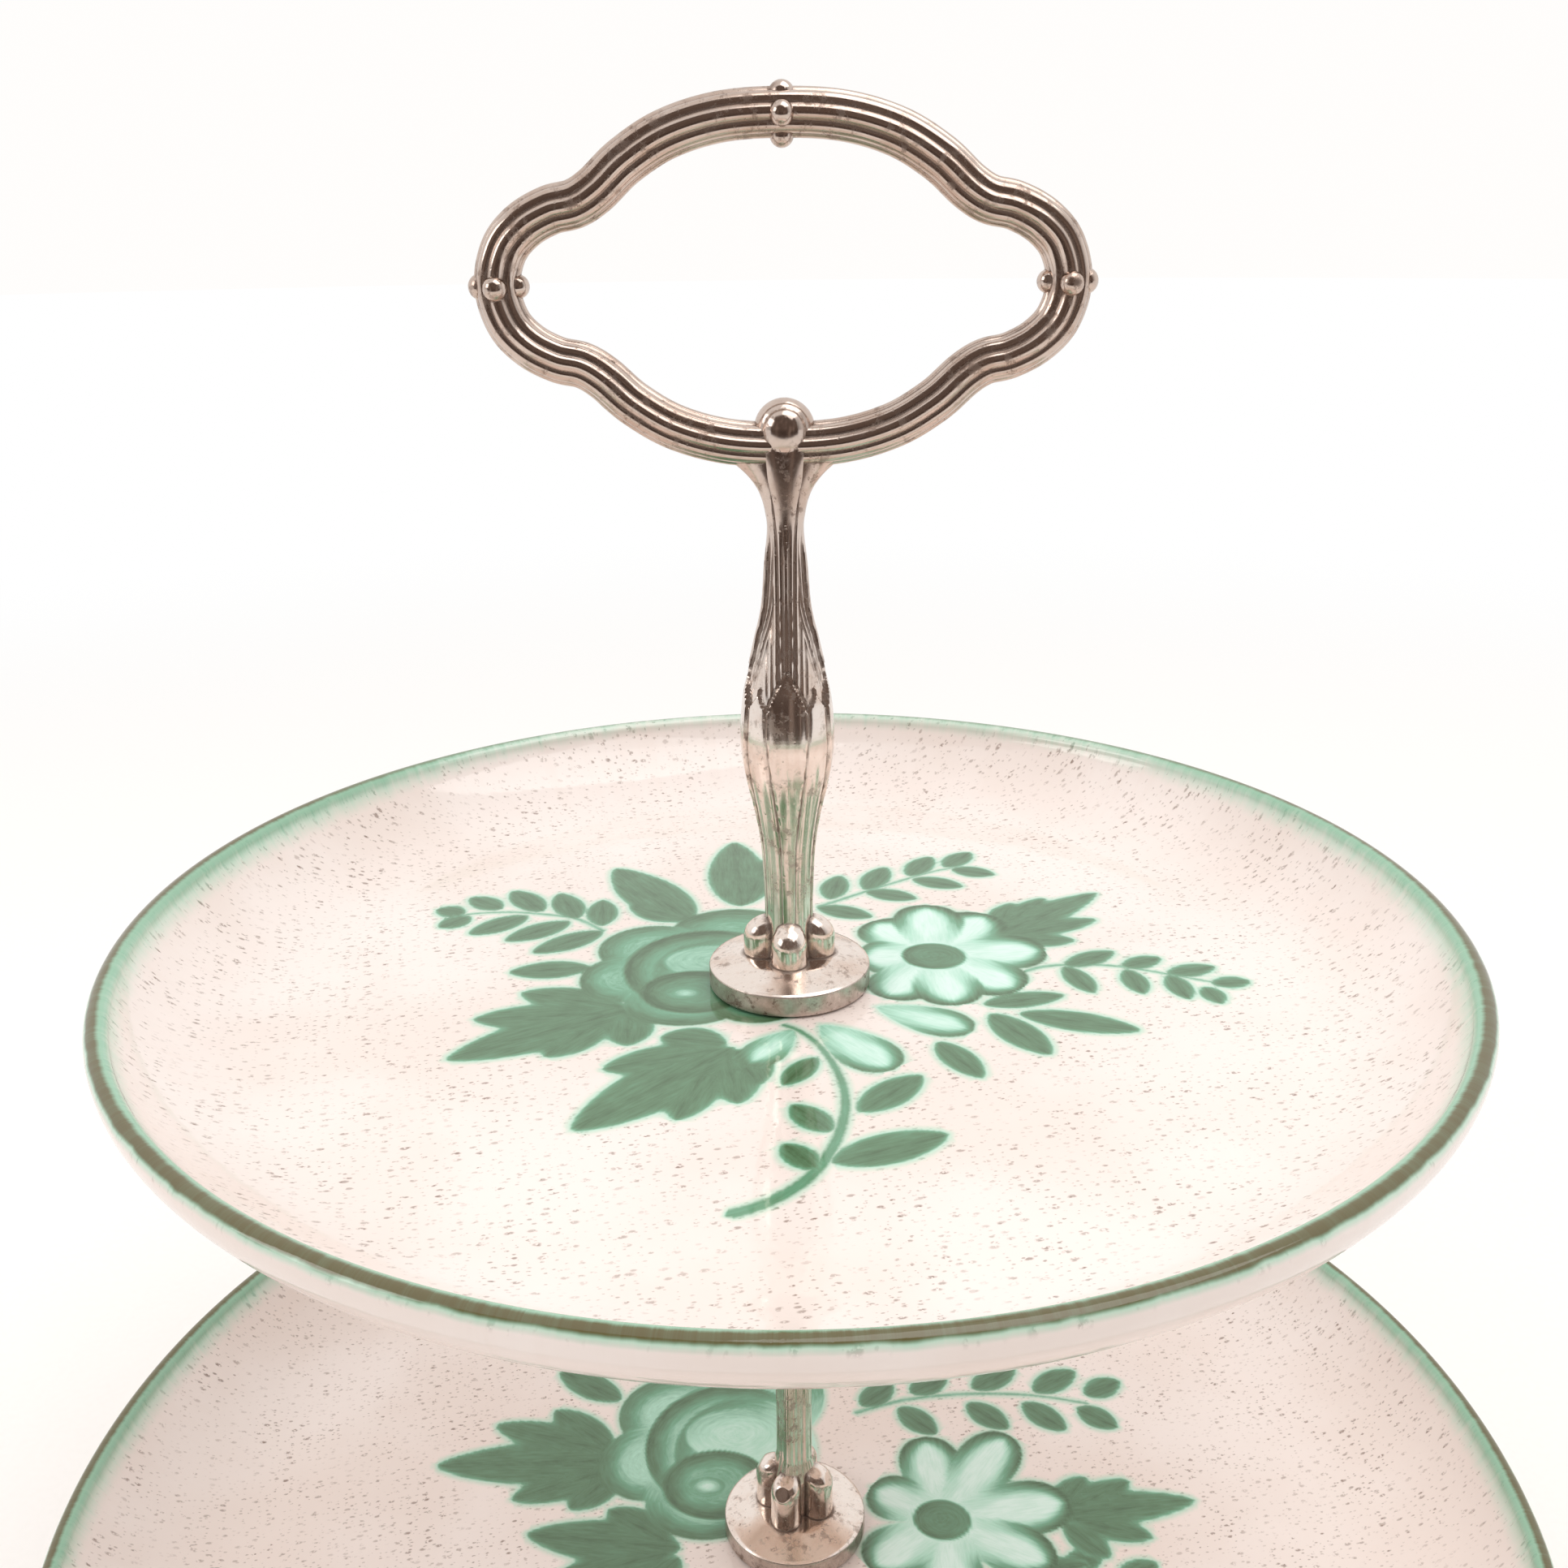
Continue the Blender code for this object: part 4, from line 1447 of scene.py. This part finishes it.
@dataclass
class Handle:
    """The cast handle: lobed foot, petalled stem, and a reeded ring with beads."""

    foot: LobedFoot
    stem_height: float = 0.0822
    ring_height: float = 0.0211
    ring_width: float = 0.0381
    ring_thick: float = 0.00295
    ring_deep: float = 0.0027
    bead_out: float = 0.0022
    sides: int = 176
    stem: tuple[Point, ...] = (
        (4.5, 3.9), (10.7, 3.4), (21.5, 3.75), (27.9, 4.6), (34.5, 5.95), (39.5, 6.5),
        (44.5, 6.25), (49.3, 5.5), (54.3, 4.45), (60.2, 3.15), (69.5, 2.6), (72.8, 2.85),
        (75.3, 3.5), (77.2, 4.6), (78.9, 6.2), (80.2, 8.0), (81.6, 10.7), (83.2, 13.5),
    )
    through: tuple[Point, ...] = (
        (4.5, 3.9), (10.7, 3.4), (21.5, 3.75), (27.9, 4.6), (34.5, 5.95), (39.5, 6.5),
        (44.5, 6.25), (49.3, 5.5), (54.3, 4.45), (60.2, 3.15), (69.5, 2.55), (74.0, 2.3),
        (78.8, 2.0), (83.4, 1.9),
    )
    petal: tuple[Point, ...] = (
        (4, 0.8), (18, 0.9), (24, 1.05), (28, 1.4), (31, 1.8), (35, 2.3), (39, 2.75), (42, 2.95),
        (44.7, 2.85), (46.4, 2.4), (48, 1.65), (49.4, 0.9), (50.4, 0.32), (50.9, 0.0),
    )
    drop: tuple[Point, ...] = (
        (48, 0.95), (66, 1.05), (72.6, 1.4), (75.3, 1.75), (78, 2.25), (81.9, 3.0), (84, 3.4),
    )
    quarter: tuple[Point, ...] = (
        (0.00, 1.00), (0.21, 0.976), (0.394, 0.882), (0.538, 0.730), (0.640, 0.569),
        (0.714, 0.488), (0.803, 0.450), (0.898, 0.360), (0.969, 0.218), (1.00, 0.00),
    )

    @property
    def seat(self) -> float:
        """The height that the handle stands at."""
        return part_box("handle")[0].z

    @property
    def ring_centre(self) -> float:
        """The height of the ring's centre."""
        return self.seat + self.stem_height + self.ring_height

    def shaft(self, angle: Array, height: float) -> Array:
        """The stem's radius, with its petals, ridges and scoops.

        Args:
            angle: The angles to read it at.
            height: The height over the seat, in metres.

        Returns:
            The radius at each angle.
        """
        z = height / MM
        wide, through = (float(graded(line, z)) for line in (self.stem, self.through))
        body = 1 / np.hypot(np.cos(angle) / wide, np.sin(angle) / through)
        turn = (angle + math.pi / 4) % (math.pi / 2) - math.pi / 4
        across = np.abs(turn) * body
        hollow = np.sin(2 * turn) ** 2
        lip = 48.2 - 3.3 * np.sqrt(np.clip((math.pi / 4 - np.abs(turn)) / 0.36, 0, 1))
        half = max(float(graded(self.petal, z)), 0.05) if z < 50.9 else -1.0
        above = smooth(z - lip, -0.05, 0.25) * (1 - smooth(half - across, -0.1, 0.16))
        deep = 0.3 + 0.35 * smooth(z, 46, 54) - 0.3 * smooth(z, 56, 66)
        body = body - above * (0.12 + 0.88 * hollow) * deep * (1 - smooth(z, 64, 76))
        body = body + (1 - above) * 0.2 * hollow * smooth(z, 14, 30)
        covered = smooth(half - across, -0.1, 0.16)
        ridges = self.ridges(angle, across, body, z) * (1 - covered)
        return (body + self.petals(across, half, z) + ridges) * MM

    def petals(self, across: Array, half: float, z: float) -> Array:
        """How far the four pointed petals and the ridges below them stand out.

        Args:
            across: The distance from the nearest petal's middle in millimetres.
            half: Half a petal's width in millimetres.
            z: The height over the seat in millimetres.

        Returns:
            The height over the stem in millimetres.
        """
        inside = smooth(half - across, -0.1, 0.16)
        grown = smooth(z, 22, 36)
        lift = 1 - 0.5 * smooth(z, 47, 50.5)
        facets = 0.05 * np.cos(across * (math.tau / 1.9)) * grown
        border = 0.10 * np.exp(-(((half - across - 0.16) / 0.17) ** 2)) * grown
        groove = 0.14 * np.exp(-(((across - half - 0.24) / 0.2) ** 2)) * smooth(z, 22, 30)
        ended = 1 - smooth(z, 50.6, 51.3)
        return (inside * (0.25 + 0.1 * grown + facets) + border) * lift * ended - groove * ended

    def ridges(self, angle: Array, across: Array, body: Array, z: float) -> Array:
        """How far the upper ridges, and the drop that widens into the ball, stand out.

        Args:
            angle: The angles to read it at.
            across: The distance from the nearest ridge's middle in millimetres.
            body: The stem's radius in millimetres.
            z: The height over the seat in millimetres.

        Returns:
            The height over the stem in millimetres.
        """
        front = np.abs(np.sin(angle)) > 0.7071
        sideways = np.where(front, np.abs(np.cos(angle)) * body, across)
        drop = float(graded(self.drop, z))
        width = np.where(front, drop, 0.95)
        kept = np.where(front, 1.0, 1 - smooth(z, 64, 72)) * smooth(z, 46.5, 48.5)
        tall = 0.36 + np.where(front, 0.9 * smooth(z, 69, 81), 0.0)
        crown = np.sqrt(np.clip(1 - (sideways / (width + 0.12)) ** 2, 0, 1))
        round_share = 0.4 + 0.55 * smooth(z, 67, 76)
        raised = smooth(width - sideways, -0.1, 0.2) * tall
        raised = raised * (1 - round_share + round_share * crown)
        lines = 0.075 * np.cos(sideways * (math.tau / 0.78)) * (1 - smooth(z, 66, 73))
        creased = 0.12 * np.exp(-(((sideways - width - 0.2) / 0.2) ** 2))
        return kept * (raised + lines * smooth(width + 2.6 - sideways, 0, 0.6) - creased)

    def stem_skin(self) -> bpy.types.Object:
        """The foot and the stem as one surface.

        Returns:
            The stem, closed at its bore and inside the ring.
        """
        angle = round_angles(self.sides)
        start = self.foot.edge + self.foot.rise

        def outline(height: float) -> Array:
            """The radius of the shaft and the lobes at a height over the seat."""
            return soft_max(self.shaft(angle, height), self.foot.lobes(angle, height), 0.0010)

        rings = self.foot.base(angle, outline(start))
        spans = (
            (start, self.foot.top + 0.0002, 52),
            (self.foot.top + 0.0002, 0.040, 92),
            (0.040, 0.0505, 68),
            (0.0505, self.stem_height + 0.0008, 108),
        )
        for height in np.concatenate([np.linspace(*span)[1:] for span in spans]):
            rings.append((outline(height), np.full_like(angle, height)))
        last_radius, last_height = rings[-1]
        rings.append((0 * last_radius, last_height))
        return wrap("handle_cast", rings, angle, self.seat)

    def ring_skin(self) -> bpy.types.Object:
        """The reeded ring.

        Returns:
            The ring as one closed loop.
        """
        right = list(self.quarter)
        right += [(x, -z) for x, z in self.quarter[-2::-1]]
        corners = right + [(-x, z) for x, z in right[-2:0:-1]]
        rough = smooth_line(corners, 40, closed=True) * (self.ring_width, self.ring_height)
        closed = np.concatenate([rough, rough[:1]])
        run = run_along(closed)
        even = np.linspace(0, run[-1], 400, endpoint=False)
        spine = np.stack([np.interp(even, run, closed[:, k]) for k in (0, 1)], axis=1)
        along = np.roll(spine, -2, axis=0) - np.roll(spine, 2, axis=0)
        along /= np.hypot(*along.T)[:, None]
        outward = np.stack([-along[:, 1], along[:, 0]], axis=1)
        outward *= np.sign((outward * spine).sum(axis=1).mean())

        turn = round_angles(64)
        reed = np.abs(np.cos(4 * turn)) ** 0.75 - 0.62
        facing = np.abs(np.sin(turn)) ** 6
        outer = np.exp(-((np.minimum(turn, math.tau - turn) / 0.28) ** 2))
        swell = 1 + 0.12 * reed + 0.05 * facing * (reed > 0) + 0.02 * outer
        out = self.ring_thick * swell * np.cos(turn)
        deep = self.ring_deep * swell * np.sin(turn)
        x = spine[:, 0, None] + outward[:, 0, None] * out
        z = spine[:, 1, None] + outward[:, 1, None] * out + self.ring_centre
        y = np.broadcast_to(deep, x.shape)
        return skin("handle_ring_cast", np.stack([x, y, z], axis=2), looped=True)

    def beads(self) -> list[bpy.types.Object]:
        """The cast beads at the ring's top and ends, and the ball on the stem.

        Returns:
            The beads and the ball, before they join the ring.
        """
        made = []
        for out_x, out_z in ((0, 1), (1, 0), (-1, 0)):
            x = out_x * self.ring_width
            z = self.ring_centre + out_z * self.ring_height
            for reach, size in ((self.bead_out, 0.00175), (-self.bead_out - 0.0005, 0.0016)):
                made.append((Vector((x + reach * out_x, 0, z + reach * out_z)), size))
            for reach in (-self.ring_deep, self.ring_deep):
                made.append((Vector((x, reach * 0.98, z - 0.0002)), 0.0016))
        beads = [
            ball(f"bead_{i + 1}", centre, (size, size), 26) for i, (centre, size) in enumerate(made)
        ]
        junction = Vector((0, 0, self.seat + self.stem_height + 0.0021))
        knob = ball("stem_knob", junction, (0.0037, 0.0037), 48)
        points = places(knob)
        points[:, 2] += 0.5 * np.minimum(points[:, 2] - junction.z, 0)
        set_places(knob, points)
        beads.append(knob)
        beads.append(ball("stem_halo", junction, (0.0042, 0.0031), 48))
        return beads

    def build(self) -> bpy.types.Object:
        """Casts the handle in one piece.

        Returns:
            The handle, with its hollows marked for tarnish.
        """
        obj = self.stem_skin()
        ring = self.ring_skin()
        for bead in self.beads():
            combine(ring, bead)
        combine(obj, ring)
        mark_hollows(obj)
        return obj

    def dress(self, obj: bpy.types.Object, silver: bpy.types.Material) -> None:
        """Silvers the handle and gives it to the frame."""
        hand_over(obj, "handle", "silver_plate", silver, "handle")


@dataclass
class Column:
    """The cast column: lobed foot with bevelled lobes, four-reeded shaft and collar."""

    foot: LobedFoot
    radius: float = 0.00315
    core: float = 0.0041
    collar: float = 0.0056
    collar_height: float = 0.011
    collar_taper: float = 0.008
    top_bore: float = 0.0098
    sides: int = 144

    def shaft(self, angle: Array, height: float, length: float) -> Array:
        """The column's radius.

        Args:
            angle: The angles to read it at.
            height: The height over the seat.
            length: The column's whole length.

        Returns:
            The radius at each angle.
        """
        neck = self.foot.top
        shoulder = length - self.collar_height
        stations = [
            (0.0, self.core), (neck - 0.002, self.core), (neck + 0.002, self.radius),
            (0.5 * length, self.radius), (shoulder - self.collar_taper, self.radius),
            (shoulder - 0.4 * self.collar_taper, 0.6 * self.radius + 0.4 * self.collar),
            (shoulder, self.collar), (length, self.collar),
        ]
        size = np.interp(height, *zip(*stations))
        turn = (angle - self.foot.turn + math.pi / 4) % (math.pi / 2) - math.pi / 4
        plain = smooth(height, shoulder - 0.003, shoulder)
        lobes = 1 + 0.1 * (np.cos(4 * turn) - 1)
        beading = 0.035 * np.exp(-(((np.abs(turn) - math.pi / 4) / 0.13) ** 2))
        spine = 0.03 * np.exp(-((turn / 0.12) ** 2))
        return size * (plain + (1 - plain) * (lobes + beading + spine))

    def build(self) -> bpy.types.Object:
        """Casts the column in one piece.

        Returns:
            The column, with its hollows marked for tarnish.
        """
        low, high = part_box("column")
        length = high.z - low.z
        angle = round_angles(self.sides)
        start = self.foot.edge + self.foot.rise

        def outline(height: float) -> Array:
            """The radius of the shaft and the lobes at a height over the seat."""
            shaft = self.shaft(angle, height, length)
            return soft_max(shaft, self.foot.lobes(angle, height), 0.0010)

        rings = self.foot.base(angle, outline(start))
        soft = 0.0004
        groove = length - self.collar_height + 0.0012
        heights = np.concatenate(
            [
                np.linspace(start, self.foot.top + 0.0002, 56)[1:],
                np.linspace(self.foot.top + 0.0002, length - soft, 150)[1:],
            ]
        )
        for height in heights:
            dip = 0.00025 * math.exp(-(((height - groove) / 0.0005) ** 2))
            rings.append((outline(height) - dip, np.full_like(angle, height)))
        whole = np.ones_like(angle)
        for radius, height in arc((self.collar - soft, length - soft), soft, 20, 90, 4):
            rings.append((radius * whole, height * whole))
        bore, deep = self.foot.bore, self.top_bore
        for radius, depth in ((bore, 0), (bore, deep / 2), (bore, deep), (0, deep)):
            rings.append((radius * whole, (length - depth) * whole))
        obj = wrap("column_cast", rings, angle, low.z)
        mark_hollows(obj)
        return obj

    def dress(self, obj: bpy.types.Object, silver: bpy.types.Material) -> None:
        """Silvers the column and gives it to the frame."""
        hand_over(obj, "column", "silver_plate", silver, "column")


@dataclass
class Thread:
    """A right-hand M5 thread."""

    outer: float = 0.0025
    depth: float = 0.00042
    pitch: float = 0.0008
    sides: int = 40
    turns: int = 9

    def rings(self, low: float, high: float) -> Rings:
        """The rings of a threaded shank between two heights.

        Args:
            low: Its lower end.
            high: Its upper end.

        Returns:
            Pairs of radius and height for each ring.
        """
        angle = round_angles(self.sides)
        count = int((high - low) / self.pitch * self.turns)
        rings = []
        for height in np.linspace(low, high, count):
            phase = (height / self.pitch - angle / math.tau) % 1
            crest = smooth(1 - np.abs(2 * phase - 1), 0.1, 0.9)
            ease = min((height - low) / 0.0006, (high - height) / 0.0006, 1.0)
            radius = self.outer - self.depth * (1 - crest * ease) - 0.0003 * (1 - ease)
            rings.append((radius, np.full_like(angle, height)))
        return rings

    def wrap(self, name: str, rings: Rings) -> bpy.types.Object:
        """Skins rings of radius and height about the stand's axis."""
        return wrap(name, rings, round_angles(self.sides))


@dataclass
class Fastenings:
    """The stud, the base screw, the discs and the pads that hold the stand together."""

    thread: Thread
    edge: float = 0.0002
    slot_width: float = 0.0012
    slot_depth: float = 0.0009
    crown: float = 0.0012
    hole: float = 0.0028

    def stud(self) -> bpy.types.Object:
        """The threaded stud between the column and the handle."""
        low, high = (corner.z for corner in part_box("column_stud"))
        rings = self.thread.rings(low, high)
        rings = [(0.0, low), *rings, (0.0, high)]
        return self.thread.wrap("column_stud_threaded", rings)

    def screw(self) -> bpy.types.Object:
        """The slotted screw under the bottom plate.

        Returns:
            The screw, its head domed and its slot cut.
        """
        low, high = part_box("base_screw")
        head, top = low.z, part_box("base_washer")[0].z - 0.0003
        rim = high.x
        crown = arc((rim - self.crown, head + self.crown), self.crown, -90, 0, 7)
        rings = [(0.0, head), (0.5 * rim, head), *crown, (rim, top - 0.0001), (rim - 0.0001, top)]
        rings += [(self.thread.outer - 0.0004, top)]
        rings += self.thread.rings(top + 0.0001, high.z) + [(0.0, high.z)]
        obj = self.thread.wrap("base_screw_slotted", rings)
        bpy.ops.object.select_all(action="DESELECT")
        bpy.ops.mesh.primitive_cube_add(size=1)
        cutter = bpy.context.object
        cutter.name = "slot"
        size = np.array([4 * rim, self.slot_width, 2 * self.slot_depth])
        set_places(cutter, places(cutter) * size + np.array([0, 0, head]))
        combine(obj, cutter, "DIFFERENCE")
        return obj

    def disc(self, node: str, bulge: float) -> bpy.types.Object:
        """A washer, disc or pad with its edges eased.

        Args:
            node: The frame's node that it stands for.
            bulge: How round its outer edge is, as a share of its thickness.

        Returns:
            The disc.
        """
        low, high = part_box(node)
        thick = high.z - low.z
        hole = self.hole
        ease = min(0.5 * thick, bulge * thick)
        outline = [(hole, low.z + self.edge / 2), (hole + self.edge / 2, low.z)]
        outline += [(0.5 * (hole + high.x), low.z)]
        outline += arc((high.x - ease, low.z + ease), ease, -90, 0, 5)
        outline += arc((high.x - ease, high.z - ease), ease, 0, 90, 5)
        outline += [(0.5 * (hole + high.x), high.z)]
        outline += [(hole + self.edge / 2, high.z), (hole, high.z - self.edge / 2)]
        unique = [p for p, q in zip(outline, outline[1:] + outline[:1]) if math.dist(p, q) > MERGE]
        return lathe(f"{node}_turned", unique, 96)

    def build(
        self, silver: bpy.types.Material, steel: bpy.types.Material, rubber: bpy.types.Material
    ) -> None:
        """Makes and dresses every fastening.

        Args:
            silver: The silver of the support disc.
            steel: The steel of the screws and the washer.
            rubber: The rubber of the pads.
        """
        hand_over(self.stud(), "column", "zinc_steel", steel, "column_stud")
        hand_over(self.screw(), "base_screw", "zinc_steel", steel, "base_screw")
        washer = self.disc("base_washer", 0.2)
        hand_over(washer, "screw_washer", "zinc_steel", steel, "base_washer")
        support = self.disc("support_disc", 0.35)
        mark_hollows(support)
        hand_over(support, "column", "silver_plate", silver, "support_disc")
        for node, body in (
            ("column_pad", "column"), ("support_pad", "column"), ("base_pad", "column"),
            ("handle_pad", "handle_washer"),
        ):
            hand_over(self.disc(node, 0.3), body, "soft_washer", rubber, node)


@dataclass
class Studio:
    """A pale floor, soft light and the camera.

    card_size holds the dark card's width, its place on the near side, and its height.
    """

    eye: Place = (0.0, -0.2208, 0.2307)
    tilt: float = 19.83
    turn: float = 0.147
    roll: float = -0.59
    lens: float = 36.26
    floor_radius: float = 6.0
    card_size: Place = (2.0, -0.55, 1.5)

    def camera(self) -> None:
        """Sets the camera close to the stand, looking down over the upper plate."""
        data = bpy.data.cameras.new("view")
        data.lens = self.lens
        data.sensor_width = 36.0
        data.clip_start = 0.01
        camera = bpy.data.objects.new("view", data)
        bpy.context.scene.collection.objects.link(camera)
        turned = Matrix.Rotation(math.radians(self.turn), 4, "Z")
        tilted = Matrix.Rotation(math.radians(90 - self.tilt), 4, "X")
        rolled = Matrix.Rotation(math.radians(self.roll), 4, "Z")
        camera.matrix_world = Matrix.Translation(self.eye) @ turned @ tilted @ rolled
        bpy.context.scene.camera = camera

    def floor(self) -> None:
        """A wide pale floor that fades into the light round it."""
        bpy.ops.object.select_all(action="DESELECT")
        bpy.ops.mesh.primitive_circle_add(
            vertices=96, radius=self.floor_radius, fill_type="NGON", location=(0, 0, -0.0002)
        )
        floor = bpy.context.object
        floor.name = "floor"
        g = Graph.material("pale_floor")
        place = g.place()
        x, y, _ = g.axes(place)
        away = ((x * x + y * y) ** 0.5).step(0.3, 1.0)
        grain = g.noise(place, 700, 3)
        near = g.node(
            "ShaderNodeBsdfPrincipled",
            None,
            {
                "Base Color": g.mix(grain, paint(252, 250, 248), paint(248, 246, 243)),
                "Roughness": 0.7,
                "Normal": g.relief(grain, 0.00003),
            },
        )
        far = g.node("ShaderNodeEmission", None, {"Color": (1, 1, 1, 1), "Strength": 1.0})
        both = g.node("ShaderNodeMixShader", None, {0: away, 1: near.outputs[0], 2: far.outputs[0]})
        g.node("ShaderNodeOutputMaterial", None, {"Surface": both.outputs[0]})
        floor.data.materials.append(g.owner)

    def light(self, name: str, place: Place, size: float, power: float, colour: Colour) -> None:
        """A square soft light aimed at the middle of the stand.

        Args:
            name: Its name.
            place: Where it stands.
            size: The length of its side.
            power: Its power in watts.
            colour: Its colour.
        """
        data = bpy.data.lights.new(name, "AREA")
        data.size = size
        data.energy = power
        data.color = colour
        lamp = bpy.data.objects.new(name, data)
        bpy.context.scene.collection.objects.link(lamp)
        aim = Vector((0, 0, 0.13)) - Vector(place)
        facing = aim.to_track_quat("-Z", "Y").to_matrix().to_4x4()
        lamp.matrix_world = Matrix.Translation(place) @ facing

    def card(self) -> None:
        """A dark card on the near side, which gives the metal its dark reflections."""
        bpy.ops.object.select_all(action="DESELECT")
        bpy.ops.mesh.primitive_plane_add(size=1)
        card = bpy.context.object
        card.name = "dark_card"
        wide, near, tall = self.card_size
        set_places(card, [(x * wide, near, (y + 0.5) * tall) for x, y, _ in places(card)])
        card.visible_camera = False
        card.visible_diffuse = False
        card.visible_shadow = False
        g = Graph.material("dark_card")
        x, _, z = g.axes(g.place())
        # Painted reflection: the dark brown stands for the dark room that the metal reflects, and
        # the lighter streaks and the paler top stand for the light streaks on the stem.
        reflected_streaks = g.noise(g.vector(x, 0.0, z * 0.3), 7, 2).step(0.45, 0.75)
        lighter = (reflected_streaks * 0.7 + z.step(0.1, 0.3) * 0.25).clipped()
        reflected_room = g.mix(lighter, paint(72, 58, 51), paint(150, 133, 123))
        shade = g.node("ShaderNodeEmission", None, {"Color": reflected_room, "Strength": 1.0})
        g.node("ShaderNodeOutputMaterial", None, {"Surface": shade.outputs[0]})
        card.data.materials.append(g.owner)

    def surroundings(self) -> None:
        """A bright room, darker at the level of the eye on the near side."""
        world = bpy.data.worlds.new("soft_room")
        bpy.context.scene.world = world
        g = Graph(world)
        _, y, z = g.axes(g.node("ShaderNodeTexCoord").outputs["Generated"])
        bright = y.step(-0.7, 0.2).most(z.step(0.3, 0.8))
        seen = g.node("ShaderNodeLightPath").outputs["Is Camera Ray"]
        level = (bright * 0.68 + 0.32).most(Value(g, seen))
        sockets = {"Strength": level, "Color": (1.0, 0.985, 0.97, 1.0)}
        shade = g.node("ShaderNodeBackground", None, sockets)
        g.node("ShaderNodeOutputWorld", None, {"Surface": shade.outputs[0]})

    def build(self) -> None:
        """Sets up the whole studio."""
        bpy.context.scene.view_settings.view_transform = "Standard"
        self.surroundings()
        self.floor()
        self.card()
        self.light("key", (0.3, -0.12, 0.98), 0.7, 2.7, (1.0, 0.985, 0.97))
        self.light("fill", (-0.8, -0.3, 0.6), 0.4, 1.4, (1.0, 0.97, 0.95))
        self.camera()


def main() -> None:
    """Builds the studio and every piece of the stand."""
    logging.basicConfig(level=logging.INFO, format="%(name)s: %(message)s")
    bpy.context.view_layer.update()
    glaze = Glaze().material("painted_glaze")
    silver = AgedSilver().material("aged_silver_plate")
    steel = ZincSteel().material("zinc_plated_steel")
    rubber = SoftWasher().material("soft_washer")
    Studio().build()
    plates = (
        Plate("bottom_plate", "base", Spray.LOWER, 0.0149, 0.094, 0.0045, 0.078, 0.0046),
        Plate("top_plate", "top_plate", Spray.UPPER, 0.0131, 0.075, 0.0042, 0.062, 0.0042),
    )
    for plate in plates:
        plate.dress(plate.build(), glaze)
    foot_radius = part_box("column")[1].x
    handle = Handle(LobedFoot(foot_radius))
    handle.dress(handle.build(), silver)
    column_foot = LobedFoot(
        foot_radius,
        lobe=0.0026,
        lobe_height=0.0092,
        turn=math.radians(-20),
        fullness=3,
        bevel=0.55,
        bore_depth=0.0083,
    )
    column = Column(column_foot)
    column.dress(column.build(), silver)
    Fastenings(Thread()).build(silver, steel, rubber)


if __name__ == "__main__":
    main()
